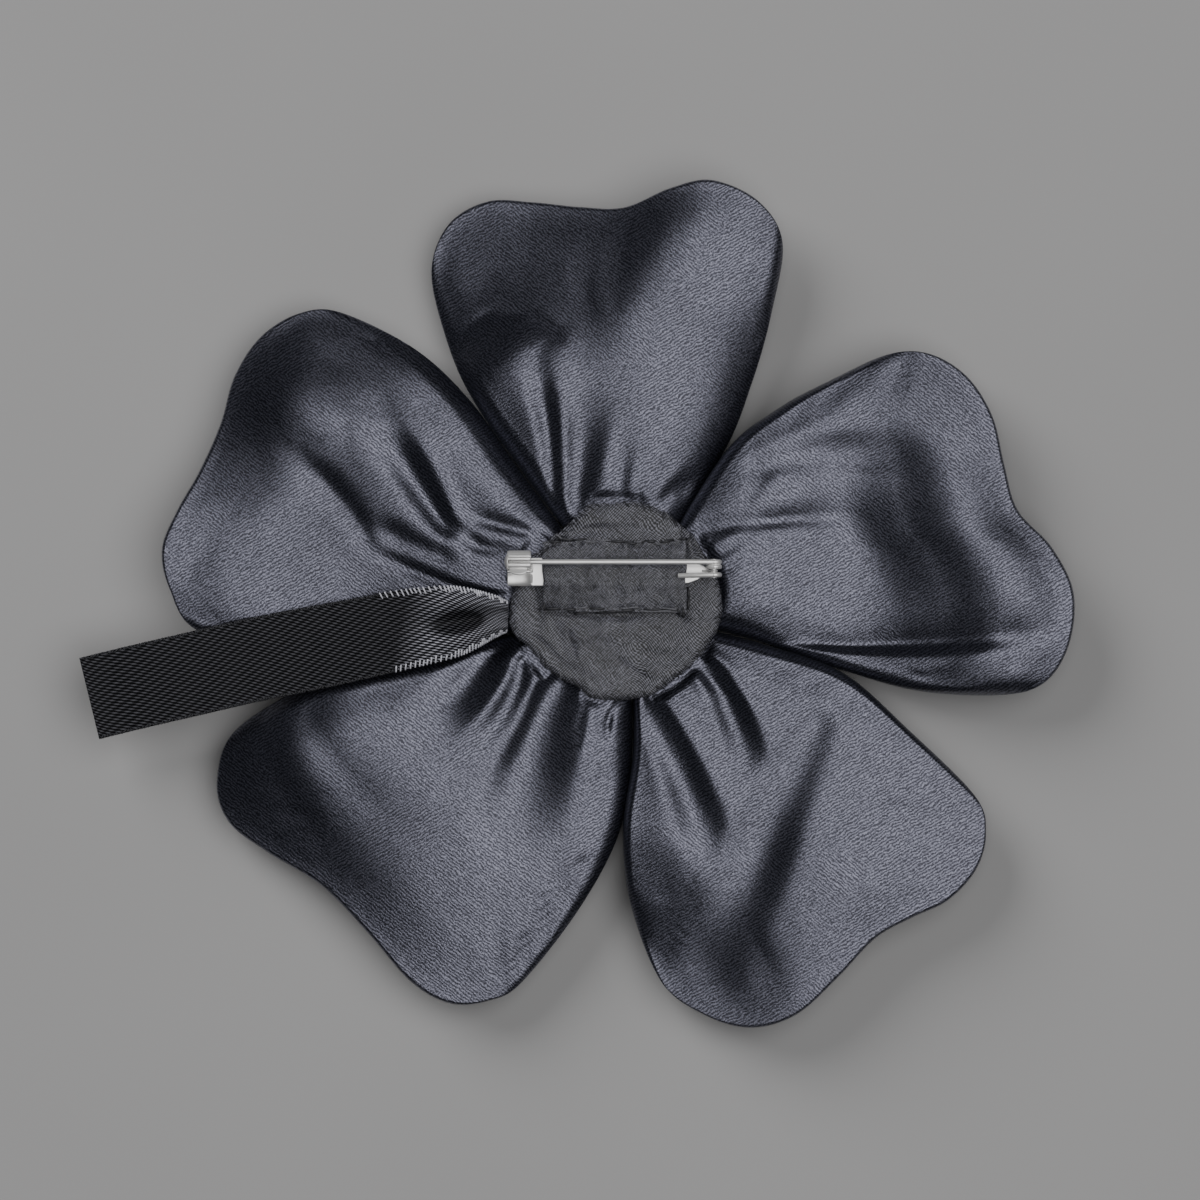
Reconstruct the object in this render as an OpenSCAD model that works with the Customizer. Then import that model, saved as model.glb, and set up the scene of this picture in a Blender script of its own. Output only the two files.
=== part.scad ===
// Fabric flower brooch lying on its front, with its pin upwards.
// Millimetres, +Z up, origin on the surface below the middle of the outline.

/* [Petals] */
// Thickness of a petal at its sewn rim
rim_t = 1.1; // [1:0.1:1.4]
// Height of the gathered petal ends under the backing
gather_h = 7; // [6.9:0.1:7.1]
// Height of the underside of the gathered petal ends
gather_low = 2.6; // [2.4:0.1:2.7]
// How full the padding is, as a part of the usual filling
padding = 1; // [0.8:0.05:1.05]
// Height of a ripple where the cloth is gathered
ripple_h = 0.35; // [0:0.05:0.5]
// Steps across a petal
steps_across = 24; // [16:2:28]
// Steps along a petal
steps_along = 15; // [10:1:17]

/* [Backing and ribbon] */
// Width of the backing
disc_w = 25.2; // [24.6:0.1:25.4]
// Height of the backing as it is seen from above
disc_d = 23.4; // [22.8:0.1:23.6]
// Thickness of the backing
disc_t = 1.25; // [1:0.05:1.25]
// Length of the strip that holds the bar
strip_len = 17.2; // [16:0.1:17.4]
// Width of the strip that holds the bar
strip_w = 8.5; // [8:0.1:9]
// Thickness of the strip
strip_t = 0.8; // [0.6:0.1:0.8]
// Thickness of the ribbon
ribbon_t = 1; // [0.6:0.1:1]

/* [Pin] */
// Diameter of the pin wire
wire_d = 0.6; // [0.56:0.02:0.62]
// Diameter of the coil, to the middle of its wire
coil_d = 1.4; // [1.4:0.02:1.44]
// Thickness of the bar
bar_t = 0.5; // [0.4:0.05:0.5]
// Width of the bar at the catch
bar_w = 3.36; // [3:0.02:3.6]
// Outer diameter of the catch
catch_d = 2.72; // [2.7:0.02:2.8]
// Length of the catch
catch_len = 2.82; // [2.6:0.02:2.9]

/* [Hidden] */

$fn = 48;
satin = [0.2, 0.21, 0.25];
lining = [0.16, 0.16, 0.19];
ribbon_black = [0.08, 0.08, 0.1];
nickel = [0.8, 0.79, 0.78];

// Middle of the flower, where the petals are gathered
flower_at = [4.5, 0.5];
// Radius at which the petals begin, inside the edge of the backing
gather_r = 8.4;
gather_mid = (gather_h + gather_low) / 2;
// Half of the thickness of a petal's sides at the gathers
gather_half = 1.5;
// Padding along the middle of a petal, at even steps from the gathers to the rim.
// how far it rises above the seam, how far it hangs below
filling = [[0.6, 0.4], [1.5, 1.5], [2.7, 2.9], [2.1, 3.7], [1.4, 3.4], [0.9, 2.1], [0, 0]];
// How far a petal sags between its gathers and its rim
petal_sag = 1.1;
// Thinnest that a fold may make a petal
thinnest = 1;

// Sides of each petal from the gathers to its outer corners, one row for a section.
// left x, left y, right x, right y, height of the seam
top_sides = [
    [-4.8, 6.9, 5.6, 6.4, 4.7],
    [-11.2, 15.7, 13.0, 18.2, 4.4],
    [-17.1, 24.3, 16.2, 26.2, 4.5],
    [-20.4, 31.6, 18.6, 34.4, 5.0],
    [-22.2, 39.5, 20.0, 42.8, 5.4]];
right_sides = [
    [5.8, 6.2, 8.2, -2.4, 4.7],
    [13.3, 17.9, 17.6, -4.8, 4.4],
    [19.3, 22.8, 27.0, -8.1, 4.6],
    [25.7, 26.4, 36.5, -10.8, 5.0],
    [32.4, 29.5, 46.2, -11.3, 5.2]];
lower_right_sides = [
    [8.1, -2.8, 2.0, -8.2, 4.7],
    [17.5, -5.5, 2.2, -17.7, 4.4],
    [26.8, -9.0, 1.0, -27.0, 4.6],
    [35.0, -15.4, 1.8, -36.4, 5.0],
    [43.0, -23.3, 5.4, -45.7, 5.2]];
lower_left_sides = [
    [1.6, -8.3, -8.0, -2.8, 4.7],
    [1.8, -17.7, -17.4, -5.5, 4.4],
    [0.4, -27.0, -27.0, -7.6, 4.5],
    [-4.1, -36.4, -36.5, -10.0, 4.9],
    [-11.2, -45.7, -45.7, -15.5, 5.1]];
upper_left_sides = [
    [-8.1, -2.4, -5.1, 6.7, 4.7],
    [-18.5, -5.1, -11.5, 15.4, 4.4],
    [-29.0, -6.9, -17.6, 23.9, 4.5],
    [-39.8, -6.6, -24.2, 30.2, 4.9],
    [-50.3, -3.5, -32.9, 34.6, 5.2]];

// Outer rims from the left corner to the right one, with two lobes and a notch between.
// x, y, height of the rim
top_rim = [[-22.2, 39.5, 5.3], [-20.2, 45.2, 5.1], [-15.5, 48.0, 5.1], [-10.0, 47.9, 5.5], [-4.4, 47.3, 5.9],
    [1.0, 47.2, 6.1], [6.6, 49.5, 6.3], [11.6, 50.4, 6.1], [17.2, 47.8, 5.7], [20.0, 42.8, 5.3]];
right_rim = [[32.4, 29.5, 5.1], [37.4, 29.7, 5.7], [42.0, 27.0, 6.1], [45.1, 22.2, 5.9], [46.5, 16.4, 5.5],
    [48.1, 10.9, 5.3], [52.2, 6.4, 5.7], [54.8, 1.0, 6.1], [54.3, -5.2, 6.1], [51.4, -9.8, 5.5],
    [46.2, -11.3, 5.1]];
lower_right_rim = [[43.0, -23.3, 5.1], [44.4, -27.8, 5.7], [43.2, -32.2, 6.1], [39.8, -35.9, 5.9],
    [35.6, -37.9, 5.5], [31.1, -40.4, 5.3], [26.6, -45.1, 5.5], [21.6, -49.6, 5.9], [16.2, -51.2, 6.1],
    [10.6, -49.7, 5.5], [5.4, -45.7, 5.1]];
lower_left_rim = [[-11.2, -45.7, 4.9], [-15.3, -48.0, 5.3], [-19.9, -48.3, 5.9], [-24.6, -45.7, 5.9],
    [-29.8, -39.8, 5.7], [-35.3, -34.2, 5.3], [-42.0, -30.1, 5.3], [-46.6, -26.5, 5.7], [-48.0, -21.6, 5.5],
    [-45.7, -15.5, 4.9]];
upper_left_rim = [[-50.3, -3.5, 5.1], [-53.5, 1.4, 5.7], [-54.4, 6.2, 5.9], [-52.6, 10.8, 5.7],
    [-50.0, 15.5, 5.3], [-47.5, 21.2, 5.1], [-45.8, 27.0, 5.1], [-42.6, 31.8, 5.3], [-37.9, 34.6, 5.5],
    [-32.9, 34.6, 5.1]];

// Folds and dents, each along a bent line and fading towards its end. A dent is above 0 deep, a ridge below.
// from x, from y, over x, over y, to x, to y, half width, depth
top_folds = [
    [-6.0, 9.5, -6.9, 22.0, -8.0, 29.5, 2.6, 1.7],
    [-3.0, 12.0, -3.0, 20.0, -1.5, 27.0, 3.0, 1.5],
    [9.0, 11.0, 9.6, 18.5, 7.0, 24.0, 2.6, 1.7],
    [4.5, 13.0, 3.5, 19.0, 5.0, 27.0, 2.6, -0.6],
    [-17.0, 44.0, -8.0, 38.0, 2.0, 41.0, 8.0, 1.3],
    [18.0, 28.0, 12.0, 34.0, 8.0, 40.0, 5.0, -0.5]];
right_folds = [
    [9.3, 7.8, 17.3, 9.7, 26.0, 10.1, 2.8, 1.9],
    [10.1, 8.9, 13.5, 10.5, 17.0, 12.0, 1.6, 0.7],
    [12.0, -3.4, 24.0, -4.8, 38.0, -5.2, 2.6, 1.5],
    [30.0, 15.0, 36.0, 8.0, 42.0, 0.0, 7.0, 1.6],
    [14.0, 4.0, 22.0, 3.0, 29.0, 1.0, 4.0, -0.5]];
lower_right_folds = [
    [12.4, -8.5, 16.6, -15.5, 19.6, -21.7, 2.8, 1.8],
    [4.8, -11.9, 9.0, -21.0, 14.3, -29.3, 2.9, 1.9],
    [26.0, -18.7, 20.5, -29.0, 14.9, -43.0, 4.0, 1.6],
    [2.5, -34.0, 6.0, -40.0, 14.0, -45.0, 5.0, 1.2],
    [11.0, -15.0, 13.0, -20.0, 16.0, -27.0, 2.6, -0.5]];
lower_left_folds = [
    [-11.5, -6.0, -16.0, -10.0, -19.8, -14.4, 3.2, 2.0],
    [-10.5, -7.0, -12.8, -12.5, -14.0, -15.0, 1.8, 1.2],
    [-3.2, -11.9, -7.0, -20.0, -11.5, -29.0, 3.8, 1.9],
    [-0.4, -13.0, -0.6, -16.6, -1.2, -19.5, 1.5, 0.9],
    [-45.0, -18.0, -38.0, -24.0, -28.0, -31.0, 6.0, 1.3]];
upper_left_folds = [
    [-8.2, 7.4, -19.0, 11.5, -26.2, 21.8, 3.6, 1.9],
    [-19.8, 1.8, -29.0, 6.5, -38.9, 18.0, 2.6, 1.9],
    [-12.0, 5.0, -21.0, 5.8, -29.0, 8.2, 1.8, 0.9],
    [-46.0, 26.0, -42.0, 30.0, -34.0, 31.0, 5.0, 1.2],
    [-33.0, 24.0, -27.0, 14.0, -24.0, 10.0, 2.6, -0.6]];

// Ribbon from under the edge of the backing to its cut end, one row for a section
// x, y, half width, height of its underside
ribbon_rows = [
    [-12.9, -1.9, 1.75, 7.6],
    [-15.4, -1.9, 2.9, 8.2],
    [-19.3, -2.4, 4.2, 8.4],
    [-25.8, -3.5, 4.7, 8.2],
    [-32.0, -4.8, 4.9, 7.8],
    [-38.0, -6.0, 5.0, 7.4],
    [-44.0, -7.2, 5.0, 7.1],
    [-50.0, -8.6, 5.0, 6.9],
    [-56.5, -10.1, 5.0, 6.7],
    [-63.06, -11.7, 5.0, 6.3]];
ribbon_steps_along = 30;
ribbon_steps_across = 6;

// Heights of what lies above the petals
disc_z = gather_h + 0.4;
disc_top = disc_z + disc_t;
bar_z = disc_top + 0.1;
bar_top = bar_z + bar_t;
strip_z = bar_top + 0.1;
strip_top = strip_z + strip_t;
// Left end and middle line of the strip
strip_x = -4.3;
strip_y = 3.42;

// Places along the pin, all seen from above
wire_r = wire_d / 2;
joined_r = wire_r - 0.03;
stem_y = 5.14;
stem_z = strip_top + 1.2;
bend_x = 14.5;
coil_x = 16.14;
coil_r = coil_d / 2;
coil_z = stem_z - 0.07 - coil_r;
turn_pitch = wire_d - 0.04;
ear_t = 0.22;
ear_gap = 0.08;
ear_y = stem_y - turn_pitch - wire_r - ear_gap - ear_t;
tail_turn_y = ear_y - ear_gap - wire_r;
axle_r = coil_r - wire_r - 0.04;
tail_end_x = 11.94;
catch_z = stem_z - 0.05;
catch_x0 = -8.46;
catch_x1 = catch_x0 + catch_len;
catch_r = catch_d / 2;
roller_r = catch_r - 0.38;
roller_x0 = -8.82;
roller_bore_r = 0.5;
roller_slot = wire_d + 0.2;
tip_x = -8.2;
point_r = 0.12;
taper_x = catch_x1 + 0.3;

// Weight from 0 to 1 with level ends
function ease(t) = let (c = max(0, min(1, t))) c * c * (3 - 2 * c);
function mix(a, b, t) = a + (b - a) * t;
// Smooth curve between p1 and p2, with the rows before and after them
function curve_between(p0, p1, p2, p3, t) = 0.5 * (2 * p1 + (p2 - p0) * t
    + (2 * p0 - 5 * p1 + 4 * p2 - p3) * t * t
    + (3 * p1 - p0 - 3 * p2 + p3) * t * t * t);
// Point at s, from 0 to 1, on the smooth curve through all the rows of a table
function row_at(rows, s) =
    let (last = len(rows) - 1, place = s * last, k = min(floor(place), last - 1))
    curve_between(rows[max(k - 1, 0)], rows[k], rows[k + 1], rows[min(k + 2, last)], place - k);

// Plan of a petal at u across and v along, worked out from its four edges
function arc_between(sides, u) =
    let (a = atan2(sides[0][1], sides[0][0]), b = atan2(sides[0][3], sides[0][2]),
        turn = mix(a, b < a ? b : b - 360, u))
    gather_r * [cos(turn), sin(turn)];
function petal_plan(sides, rim, u, v) =
    let (side = row_at(sides, v), left = [side[0], side[1]], right = [side[2], side[3]],
        outer = row_at(rim, u), tip = [outer[0], outer[1]], inner = arc_between(sides, u),
        first = sides[0], last = sides[len(sides) - 1],
        base_corners = mix([first[0], first[1]], [first[2], first[3]], u),
        outer_corners = mix([last[0], last[1]], [last[2], last[3]], u))
    mix(left, right, u) + mix(inner, tip, v) - mix(base_corners, outer_corners, v);

// How far along the segment from a to b the point p lies, from 0 to 1
function along_segment(p, a, b) = max(0, min(1, (p - a) * (b - a) / ((b - a) * (b - a))));
// Depth of one fold at p, full at its start and less towards its end
function fold_depth(p, f) =
    let (a = [f[0], f[1]], b = [f[2], f[3]], c = [f[4], f[5]],
        s = along_segment(p, a, b), t = along_segment(p, b, c),
        d1 = norm(p - mix(a, b, s)), d2 = norm(p - mix(b, c, t)),
        place = d1 < d2 ? s / 2 : 0.5 + t / 2, near = min(1, min(d1, d2) / f[6]))
    f[7] * pow(1 - near * near, 2) * (1 - ease(place) * 0.7);
function folds_depth(p, folds, k = 0) =
    k == len(folds) ? 0 : fold_depth(p, folds[k]) + folds_depth(p, folds, k + 1);

// How full a petal is across it, with round shoulders at its sides
function fullness_across(u) = sqrt(max(0, 1 - pow(abs(2 * u - 1), 2.8)));
function seam_height(sides, rim, u, v) =
    let (side = row_at(sides, v)[4], level = mix(gather_mid, row_at(rim, u)[2], ease(v)))
    mix(side, level - petal_sag * sin(180 * v), fullness_across(u));
// Half of the thickness at the sides, which is more where the cloth is gathered
function side_half(v) = mix(gather_half, rim_t / 2, ease(v / 0.5));
// The backing holds the gathers down as far as its edge
function held_down(p) = gather_h + 1.5 * max(0, norm(p) - disc_w / 2);
function gathers(u, v) = ripple_h * ease(v / 0.1) * (1 - ease((v - 0.1) / 0.3)) * cos(u * 360 * 5);
function petal_top_z(sides, rim, folds, u, v) =
    let (p = petal_plan(sides, rim, u, v), across = fullness_across(u),
        fill = padding * row_at(filling, v)[0] * across,
        depth = folds_depth(p, folds) * ease(v / 0.12) * min(1, (1 - v) * 8) * min(1, across * 1.6))
    min(held_down(p), seam_height(sides, rim, u, v) + side_half(v) + fill + gathers(u, v) * across - depth);
function petal_low_z(sides, rim, u, v) =
    let (fill = padding * row_at(filling, v)[1] * fullness_across(u))
    max(0, seam_height(sides, rim, u, v) - side_half(v) - fill);
// Where the steps stand: closer together near the sides and the rim
function step_across(i) = (1 - cos(180 * i / steps_across)) / 2 * 0.6 + i / steps_across * 0.4;
function step_along(j) = sin(90 * j / steps_along) * 0.5 + j / steps_along * 0.5;

// Triangles of a closed pad between an upper and a lower grid of across by along steps
function grid_faces(across, along, first, up) = [for (i = [0:across - 1], j = [0:along - 1])
    let (a = first + i * (along + 1) + j, b = a + along + 1)
    each up ? [[a, a + 1, b + 1], [a, b + 1, b]] : [[a, b + 1, a + 1], [a, b, b + 1]]];
function wall_faces(upper, lower) = [for (k = [0:len(upper) - 1])
    let (n = (k + 1) % len(upper))
    each [[upper[k], upper[n], lower[n]], [upper[k], lower[n], lower[k]]]];
function grid_border(across, along, first) = [
    for (j = [0:along - 1]) first + j,
    for (i = [0:across - 1]) first + i * (along + 1) + along,
    for (j = [along:-1:1]) first + across * (along + 1) + j,
    for (i = [across:-1:1]) first + i * (along + 1)];
module pad(upper, lower, across, along) {
    size = len(upper);
    polyhedron(points = concat(upper, lower), faces = concat(
        grid_faces(across, along, 0, true),
        grid_faces(across, along, size, false),
        wall_faces(grid_border(across, along, size), grid_border(across, along, 0))), convexity = 6);
}

module petal(sides, rim, folds) {
    grid = [for (i = [0:steps_across], j = [0:steps_along]) [step_across(i), step_along(j)]];
    upper = [for (g = grid)
        let (p = petal_plan(sides, rim, g[0], g[1]),
            low = petal_low_z(sides, rim, g[0], g[1]),
            top = petal_top_z(sides, rim, folds, g[0], g[1]))
        [p[0], p[1], max(top, low + thinnest)]];
    lower = [for (g = grid)
        let (p = petal_plan(sides, rim, g[0], g[1]))
        [p[0], p[1], petal_low_z(sides, rim, g[0], g[1])]];
    color(satin) translate([flower_at[0], flower_at[1], 0]) pad(upper, lower, steps_across, steps_along);
}
module petal_top() { petal(top_sides, top_rim, top_folds); }
module petal_right() { petal(right_sides, right_rim, right_folds); }
module petal_lower_right() { petal(lower_right_sides, lower_right_rim, lower_right_folds); }
module petal_lower_left() { petal(lower_left_sides, lower_left_rim, lower_left_folds); }
module petal_upper_left() { petal(upper_left_sides, upper_left_rim, upper_left_folds); }

// Hand-folded edge of the backing, a little uneven
function disc_edge(a) =
    (1 + 0.012 * cos(3 * a + 40) + 0.01 * sin(5 * a)) * [disc_w / 2 * cos(a), disc_d / 2 * sin(a)];
module back_disc() {
    // Rings of the outline: how far in, height as a part of the thickness
    rings = [[0.94, 0], [0.99, 0.2], [1, 0.5], [0.985, 0.85], [0.93, 1]];
    sides = 48;
    points = [for (ring = rings, k = [0:sides - 1])
        let (p = disc_edge(360 * k / sides) * ring[0])
        [p[0], p[1], ring[1] * disc_t]];
    last = (len(rings) - 1) * sides;
    walls = [for (r = [0:len(rings) - 2], k = [0:sides - 1])
        let (a = r * sides + k, b = r * sides + (k + 1) % sides)
        each [[a, a + sides, b + sides], [a, b + sides, b]]];
    caps = [[for (k = [0:sides - 1]) k], [for (k = [sides - 1:-1:0]) last + k]];
    color(lining) translate([flower_at[0], flower_at[1], disc_z])
        polyhedron(points = points, faces = concat(walls, caps));
}

// Strip across the backing, raised over the bar and sewn down along both long sides
module pin_strip() {
    step = strip_z - bar_z;
    half = strip_w / 2;
    raised = 2.3;
    slope = 0.9;
    profile = [[-half, 0], [-raised - slope, 0], [-raised, step],
        [raised, step], [raised + slope, 0], [half, 0],
        [half, strip_t * 0.8], [raised + slope, strip_t], [raised, strip_t + step],
        [-raised, strip_t + step], [-raised - slope, strip_t], [-half, strip_t * 0.8]];
    color(lining) translate([strip_x, strip_y, bar_z + 0.02])
        rotate([90, 0, 90]) linear_extrude(strip_len) polygon(profile);
}

module ribbon_tail() {
    grid = [for (i = [0:ribbon_steps_across], j = [0:ribbon_steps_along])
        [i / ribbon_steps_across, j / ribbon_steps_along]];
    // The gathered end is pinched into a pleat, which opens out along the ribbon
    under = [for (g = grid)
        let (row = row_at(ribbon_rows, g[1]), ahead = row_at(ribbon_rows, min(1, g[1] + 0.01)),
            back = row_at(ribbon_rows, max(0, g[1] - 0.01)),
            way = [ahead[0] - back[0], ahead[1] - back[1]], side = [way[1], -way[0]] / norm(way),
            offset = (2 * g[0] - 1) * row[2],
            pleat = 0.5 * (1 - ease(g[1] / 0.35)) * (1 - pow(2 * g[0] - 1, 2)) * ease(g[1] / 0.05))
        [row[0] + side[0] * offset, row[1] + side[1] * offset, row[3] + pleat]];
    over = [for (p = under) p + [0, 0, ribbon_t]];
    color(ribbon_black) translate([flower_at[0], flower_at[1], 0])
        pad(over, under, ribbon_steps_across, ribbon_steps_along);
}

// Plain covered button that closes the hidden front, with the core that the petals are sewn round
module front_centre() {
    button_r = 9.5;
    button_h = gather_low - 0.5;
    core_r = gather_r - 0.3;
    dome = 1.1;
    color(satin) translate([flower_at[0], flower_at[1], 0]) {
        rotate_extrude() polygon([[0, 0.2], [button_r - 3, 0.2], [button_r - dome, 0.7], [button_r, 1.7],
            [button_r - 0.5, button_h - 0.3], [button_r - dome, button_h], [0, button_h]]);
        cylinder(r = core_r, h = gather_h);
    }
}

// Ring sector seen along the catch, from turn a to turn b, measured from straight up towards -Y
module sector(r, a, b) {
    steps = 8;
    polygon([[0, 0], for (k = [0:steps]) let (t = mix(a, b, k / steps)) r * [-sin(t), cos(t)]]);
}

module pin_bar() {
    left_y = 3.96;
    right_y = 3.78;
    right_w = 2.4;
    tongue_w = 0.7;
    // The catch is open from 35 degrees past the top on one side to 75 degrees on the other
    mouth_back = -35;
    mouth_front = 75;
    // Top of the bar, measured from the middle of the catch
    foot = bar_top - catch_z;
    color(nickel) {
        translate([0, 0, bar_z]) linear_extrude(bar_t) polygon([
            [catch_x0, left_y - bar_w / 2], [-3.9, left_y - bar_w / 2], [-3.7, right_y - right_w / 2],
            [13.1, right_y - right_w / 2], [14.6, ear_y - 0.2],
            [15.6, ear_y - 0.05], [15.6, ear_y + ear_t + 0.1],
            [14.4, ear_y + tongue_w], [13.3, right_y + right_w / 2],
            [-3.7, right_y + right_w / 2], [-3.9, left_y + bar_w / 2], [catch_x0, left_y + bar_w / 2]]);
        // Catch housing and the neck that it stands on
        translate([catch_x0, stem_y, catch_z]) rotate([90, 0, 90]) difference() {
            union() {
                linear_extrude(catch_len) difference() {
                    circle(catch_r);
                    sector(catch_r * 2, mouth_back, mouth_front);
                }
                linear_extrude(catch_len) polygon([[-2.6, foot - 0.2], [-2.6, foot + 0.15],
                    [-1.7, -1.35], [-0.9, -0.9], [0.3, -1.1], [0.55, foot - 0.2]]);
            }
            translate([0, 0, -1]) cylinder(r = roller_r + 0.06, h = catch_len + 2);
        }
        // Ear and the loop that carries the coil
        translate([0, ear_y + ear_t, 0]) rotate([90, 0, 0]) linear_extrude(ear_t) {
            polygon([[14.5, bar_z + 0.1], [15.6, bar_z + 0.1],
                [coil_x + 0.3, coil_z - 0.2], [coil_x - 0.3, coil_z + 0.2]]);
            translate([coil_x, coil_z]) circle(axle_r + 0.12);
        }
        axle_y0 = tail_turn_y - wire_r - 0.05;
        axle_len = stem_y + wire_r + 0.05 - axle_y0;
        translate([coil_x, axle_y0 + axle_len, coil_z]) rotate([90, 0, 0])
            cylinder(r = axle_r, h = axle_len);
    }
}

module coil_turn(y) {
    translate([coil_x, y, coil_z]) rotate([90, 0, 0]) rotate_extrude() translate([coil_r, 0]) circle(wire_r);
}

// Wire from one point to another, a little thinner so that it ends inside the turn it comes from
module wire_between(a, b) {
    way = b - a;
    length = norm(way);
    translate(a) rotate([0, acos(way[2] / length), atan2(way[1], way[0])])
        cylinder(r = joined_r, h = length);
}

module spring_tail() {
    color(nickel) {
        coil_turn(tail_turn_y);
        wire_between([coil_x, tail_turn_y, coil_z + coil_r],
            [tail_end_x, tail_turn_y - 0.1, strip_top + wire_r + 0.1]);
    }
}

module pin_stem() {
    color(nickel) {
        coil_turn(stem_y);
        coil_turn(stem_y - turn_pitch);
        wire_between([coil_x, stem_y, coil_z + coil_r], [bend_x, stem_y, stem_z]);
        translate([bend_x, stem_y, stem_z]) sphere(wire_r);
        translate([bend_x, stem_y, stem_z]) rotate([0, -90, 0]) cylinder(r = wire_r, h = bend_x - taper_x);
        translate([taper_x, stem_y, stem_z]) rotate([0, -90, 0])
            cylinder(r1 = wire_r, r2 = point_r, h = taper_x - tip_x);
    }
}

// Slotted sleeve that turns in the catch, with its slot upwards as the pin is let go
module catch_roller() {
    length = catch_x1 - roller_x0;
    tab_turn = 62;
    tab_reach = 1.75;
    tab_t = 0.28;
    bore_from = 0.45;
    color(nickel) translate([roller_x0, stem_y, catch_z]) rotate([90, 0, 90]) difference() {
        union() {
            rotate_extrude() polygon([[0, 0], [0.45, 0.03], [0.75, 0.14],
                [roller_r, 0.42], [roller_r, length], [0, length]]);
            // Half-moon tab
            rotate([0, 0, tab_turn]) translate([-tab_t / 2, 0, 0]) rotate([0, 90, 0])
                linear_extrude(tab_t) intersection() {
                    translate([-length / 2 - 0.1, 0]) circle(tab_reach);
                    translate([-length + 0.25, 0.6]) square([length - 0.85, tab_reach]);
                }
        }
        translate([0, 0, bore_from]) cylinder(r = roller_bore_r, h = length);
        translate([-roller_slot / 2, 0, bore_from]) cube([roller_slot, catch_r, length]);
    }
}

petal_top();
petal_right();
petal_lower_right();
petal_lower_left();
petal_upper_left();
back_disc();
pin_strip();
ribbon_tail();
front_centre();
pin_bar();
spring_tail();
pin_stem();
catch_roller();
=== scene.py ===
import math
from collections import namedtuple

import bmesh
import bpy
import numpy as np
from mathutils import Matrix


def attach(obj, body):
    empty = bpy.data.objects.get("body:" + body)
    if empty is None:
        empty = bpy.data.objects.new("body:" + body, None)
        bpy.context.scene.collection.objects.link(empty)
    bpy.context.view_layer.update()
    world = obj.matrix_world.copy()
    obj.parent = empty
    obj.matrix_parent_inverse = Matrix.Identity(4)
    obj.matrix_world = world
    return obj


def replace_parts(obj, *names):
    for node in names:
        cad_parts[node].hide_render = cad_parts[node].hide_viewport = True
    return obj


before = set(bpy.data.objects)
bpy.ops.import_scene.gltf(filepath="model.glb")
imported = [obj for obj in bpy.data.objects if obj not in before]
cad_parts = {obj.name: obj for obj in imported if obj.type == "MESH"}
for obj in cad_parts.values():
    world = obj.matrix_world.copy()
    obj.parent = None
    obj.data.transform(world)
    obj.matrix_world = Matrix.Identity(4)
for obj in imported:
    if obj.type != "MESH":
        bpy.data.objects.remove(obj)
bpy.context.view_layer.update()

# Lengths in this script are millimetres, in the frame's own axes. MM turns them into Blender's metres
MM = 0.001
# Middle of the flower. The tables of the petals, the backing and the ribbon are measured from it
FLOWER_AT = np.array([4.5, 0.5])
# Least thickness of a padded piece
THIN = 0.02

# Camera: straight above, with a long lens
VIEW_CENTRE = (2.58, 0.6)
VIEW_WIDTH = 144.0
VIEW_LEVEL = 5.0
CAMERA_HEIGHT = 900.0
SENSOR = 36.0


def add_object(name, data):
    made = bpy.data.objects.new(name, data)
    bpy.context.scene.collection.objects.link(made)
    return made


def make_camera():
    data = bpy.data.cameras.new("camera")
    data.sensor_width = SENSOR
    data.lens = SENSOR * (CAMERA_HEIGHT - VIEW_LEVEL) / VIEW_WIDTH
    data.clip_start = 0.01
    data.clip_end = 10
    camera = add_object("camera", data)
    camera.location = (VIEW_CENTRE[0] * MM, VIEW_CENTRE[1] * MM, CAMERA_HEIGHT * MM)
    bpy.context.scene.camera = camera


make_camera()


# Curves and weights, the same as in the solids

def ease(t):
    t = np.clip(t, 0, 1)
    return t * t * (3 - 2 * t)


def mix(a, b, t):
    return a + (b - a) * t


def round_edge(t):
    return np.sqrt(1 - (1 - np.clip(t, 0, 1)) ** 2)


def curve(p0, p1, p2, p3, t):
    """Point at t, from 0 to 1, on the smooth curve from p1 to p2."""
    return 0.5 * (2 * p1 + (p2 - p0) * t + (2 * p0 - 5 * p1 + 4 * p2 - p3) * t ** 2
                  + (3 * p1 - p0 - 3 * p2 + p3) * t ** 3)


def row_at(rows, s, before=None, after=None):
    """Point at s, from 0 to 1, on the smooth curve through all the rows of a table.

    before and after are the points that the curve comes from and goes on to."""
    rows = np.asarray(rows, float)
    before = rows[0] if before is None else before
    after = rows[-1] if after is None else after
    padded = np.concatenate([[before], rows, [after]])
    last = len(rows) - 1
    place = np.clip(np.asarray(s, float), 0, 1) * last
    k = np.minimum(place.astype(int), last - 1)
    return curve(*(padded[k + step] for step in range(4)), (place - k)[..., None])


def bend(a, b, c, steps):
    """Points along one smooth bend from a over b to c."""
    a, b, c = (np.asarray(p, float) for p in (a, b, c))
    t = np.linspace(0, 1, steps + 1)[:, None]
    control = 2 * b - (a + c) / 2
    return a * (1 - t) ** 2 + control * 2 * t * (1 - t) + c * t ** 2


def hump(t, height, at, width):
    """Round hump in a row of places t."""
    return height * np.exp(-((t - at) / width) ** 2)


def wander(x, y, size, seed):
    """Gentle unevenness between -1 and 1 with waves of about that size."""
    rng = np.random.default_rng(seed)
    total = np.zeros(np.shape(x))
    waves = 9
    for _ in range(waves):
        turn, shift = rng.uniform(0, 2 * math.pi, 2)
        length = size * rng.uniform(0.7, 1.6)
        total += np.sin(2 * math.pi * (x * math.cos(turn) + y * math.sin(turn)) / length + shift)
    return total / math.sqrt(waves)


def uneven(x, y, *waves):
    """Uneven height from waves that each have a depth, a size and a seed."""
    return sum(depth * wander(x, y, size, seed) for depth, size, seed in waves)


# Grids and meshes

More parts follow.
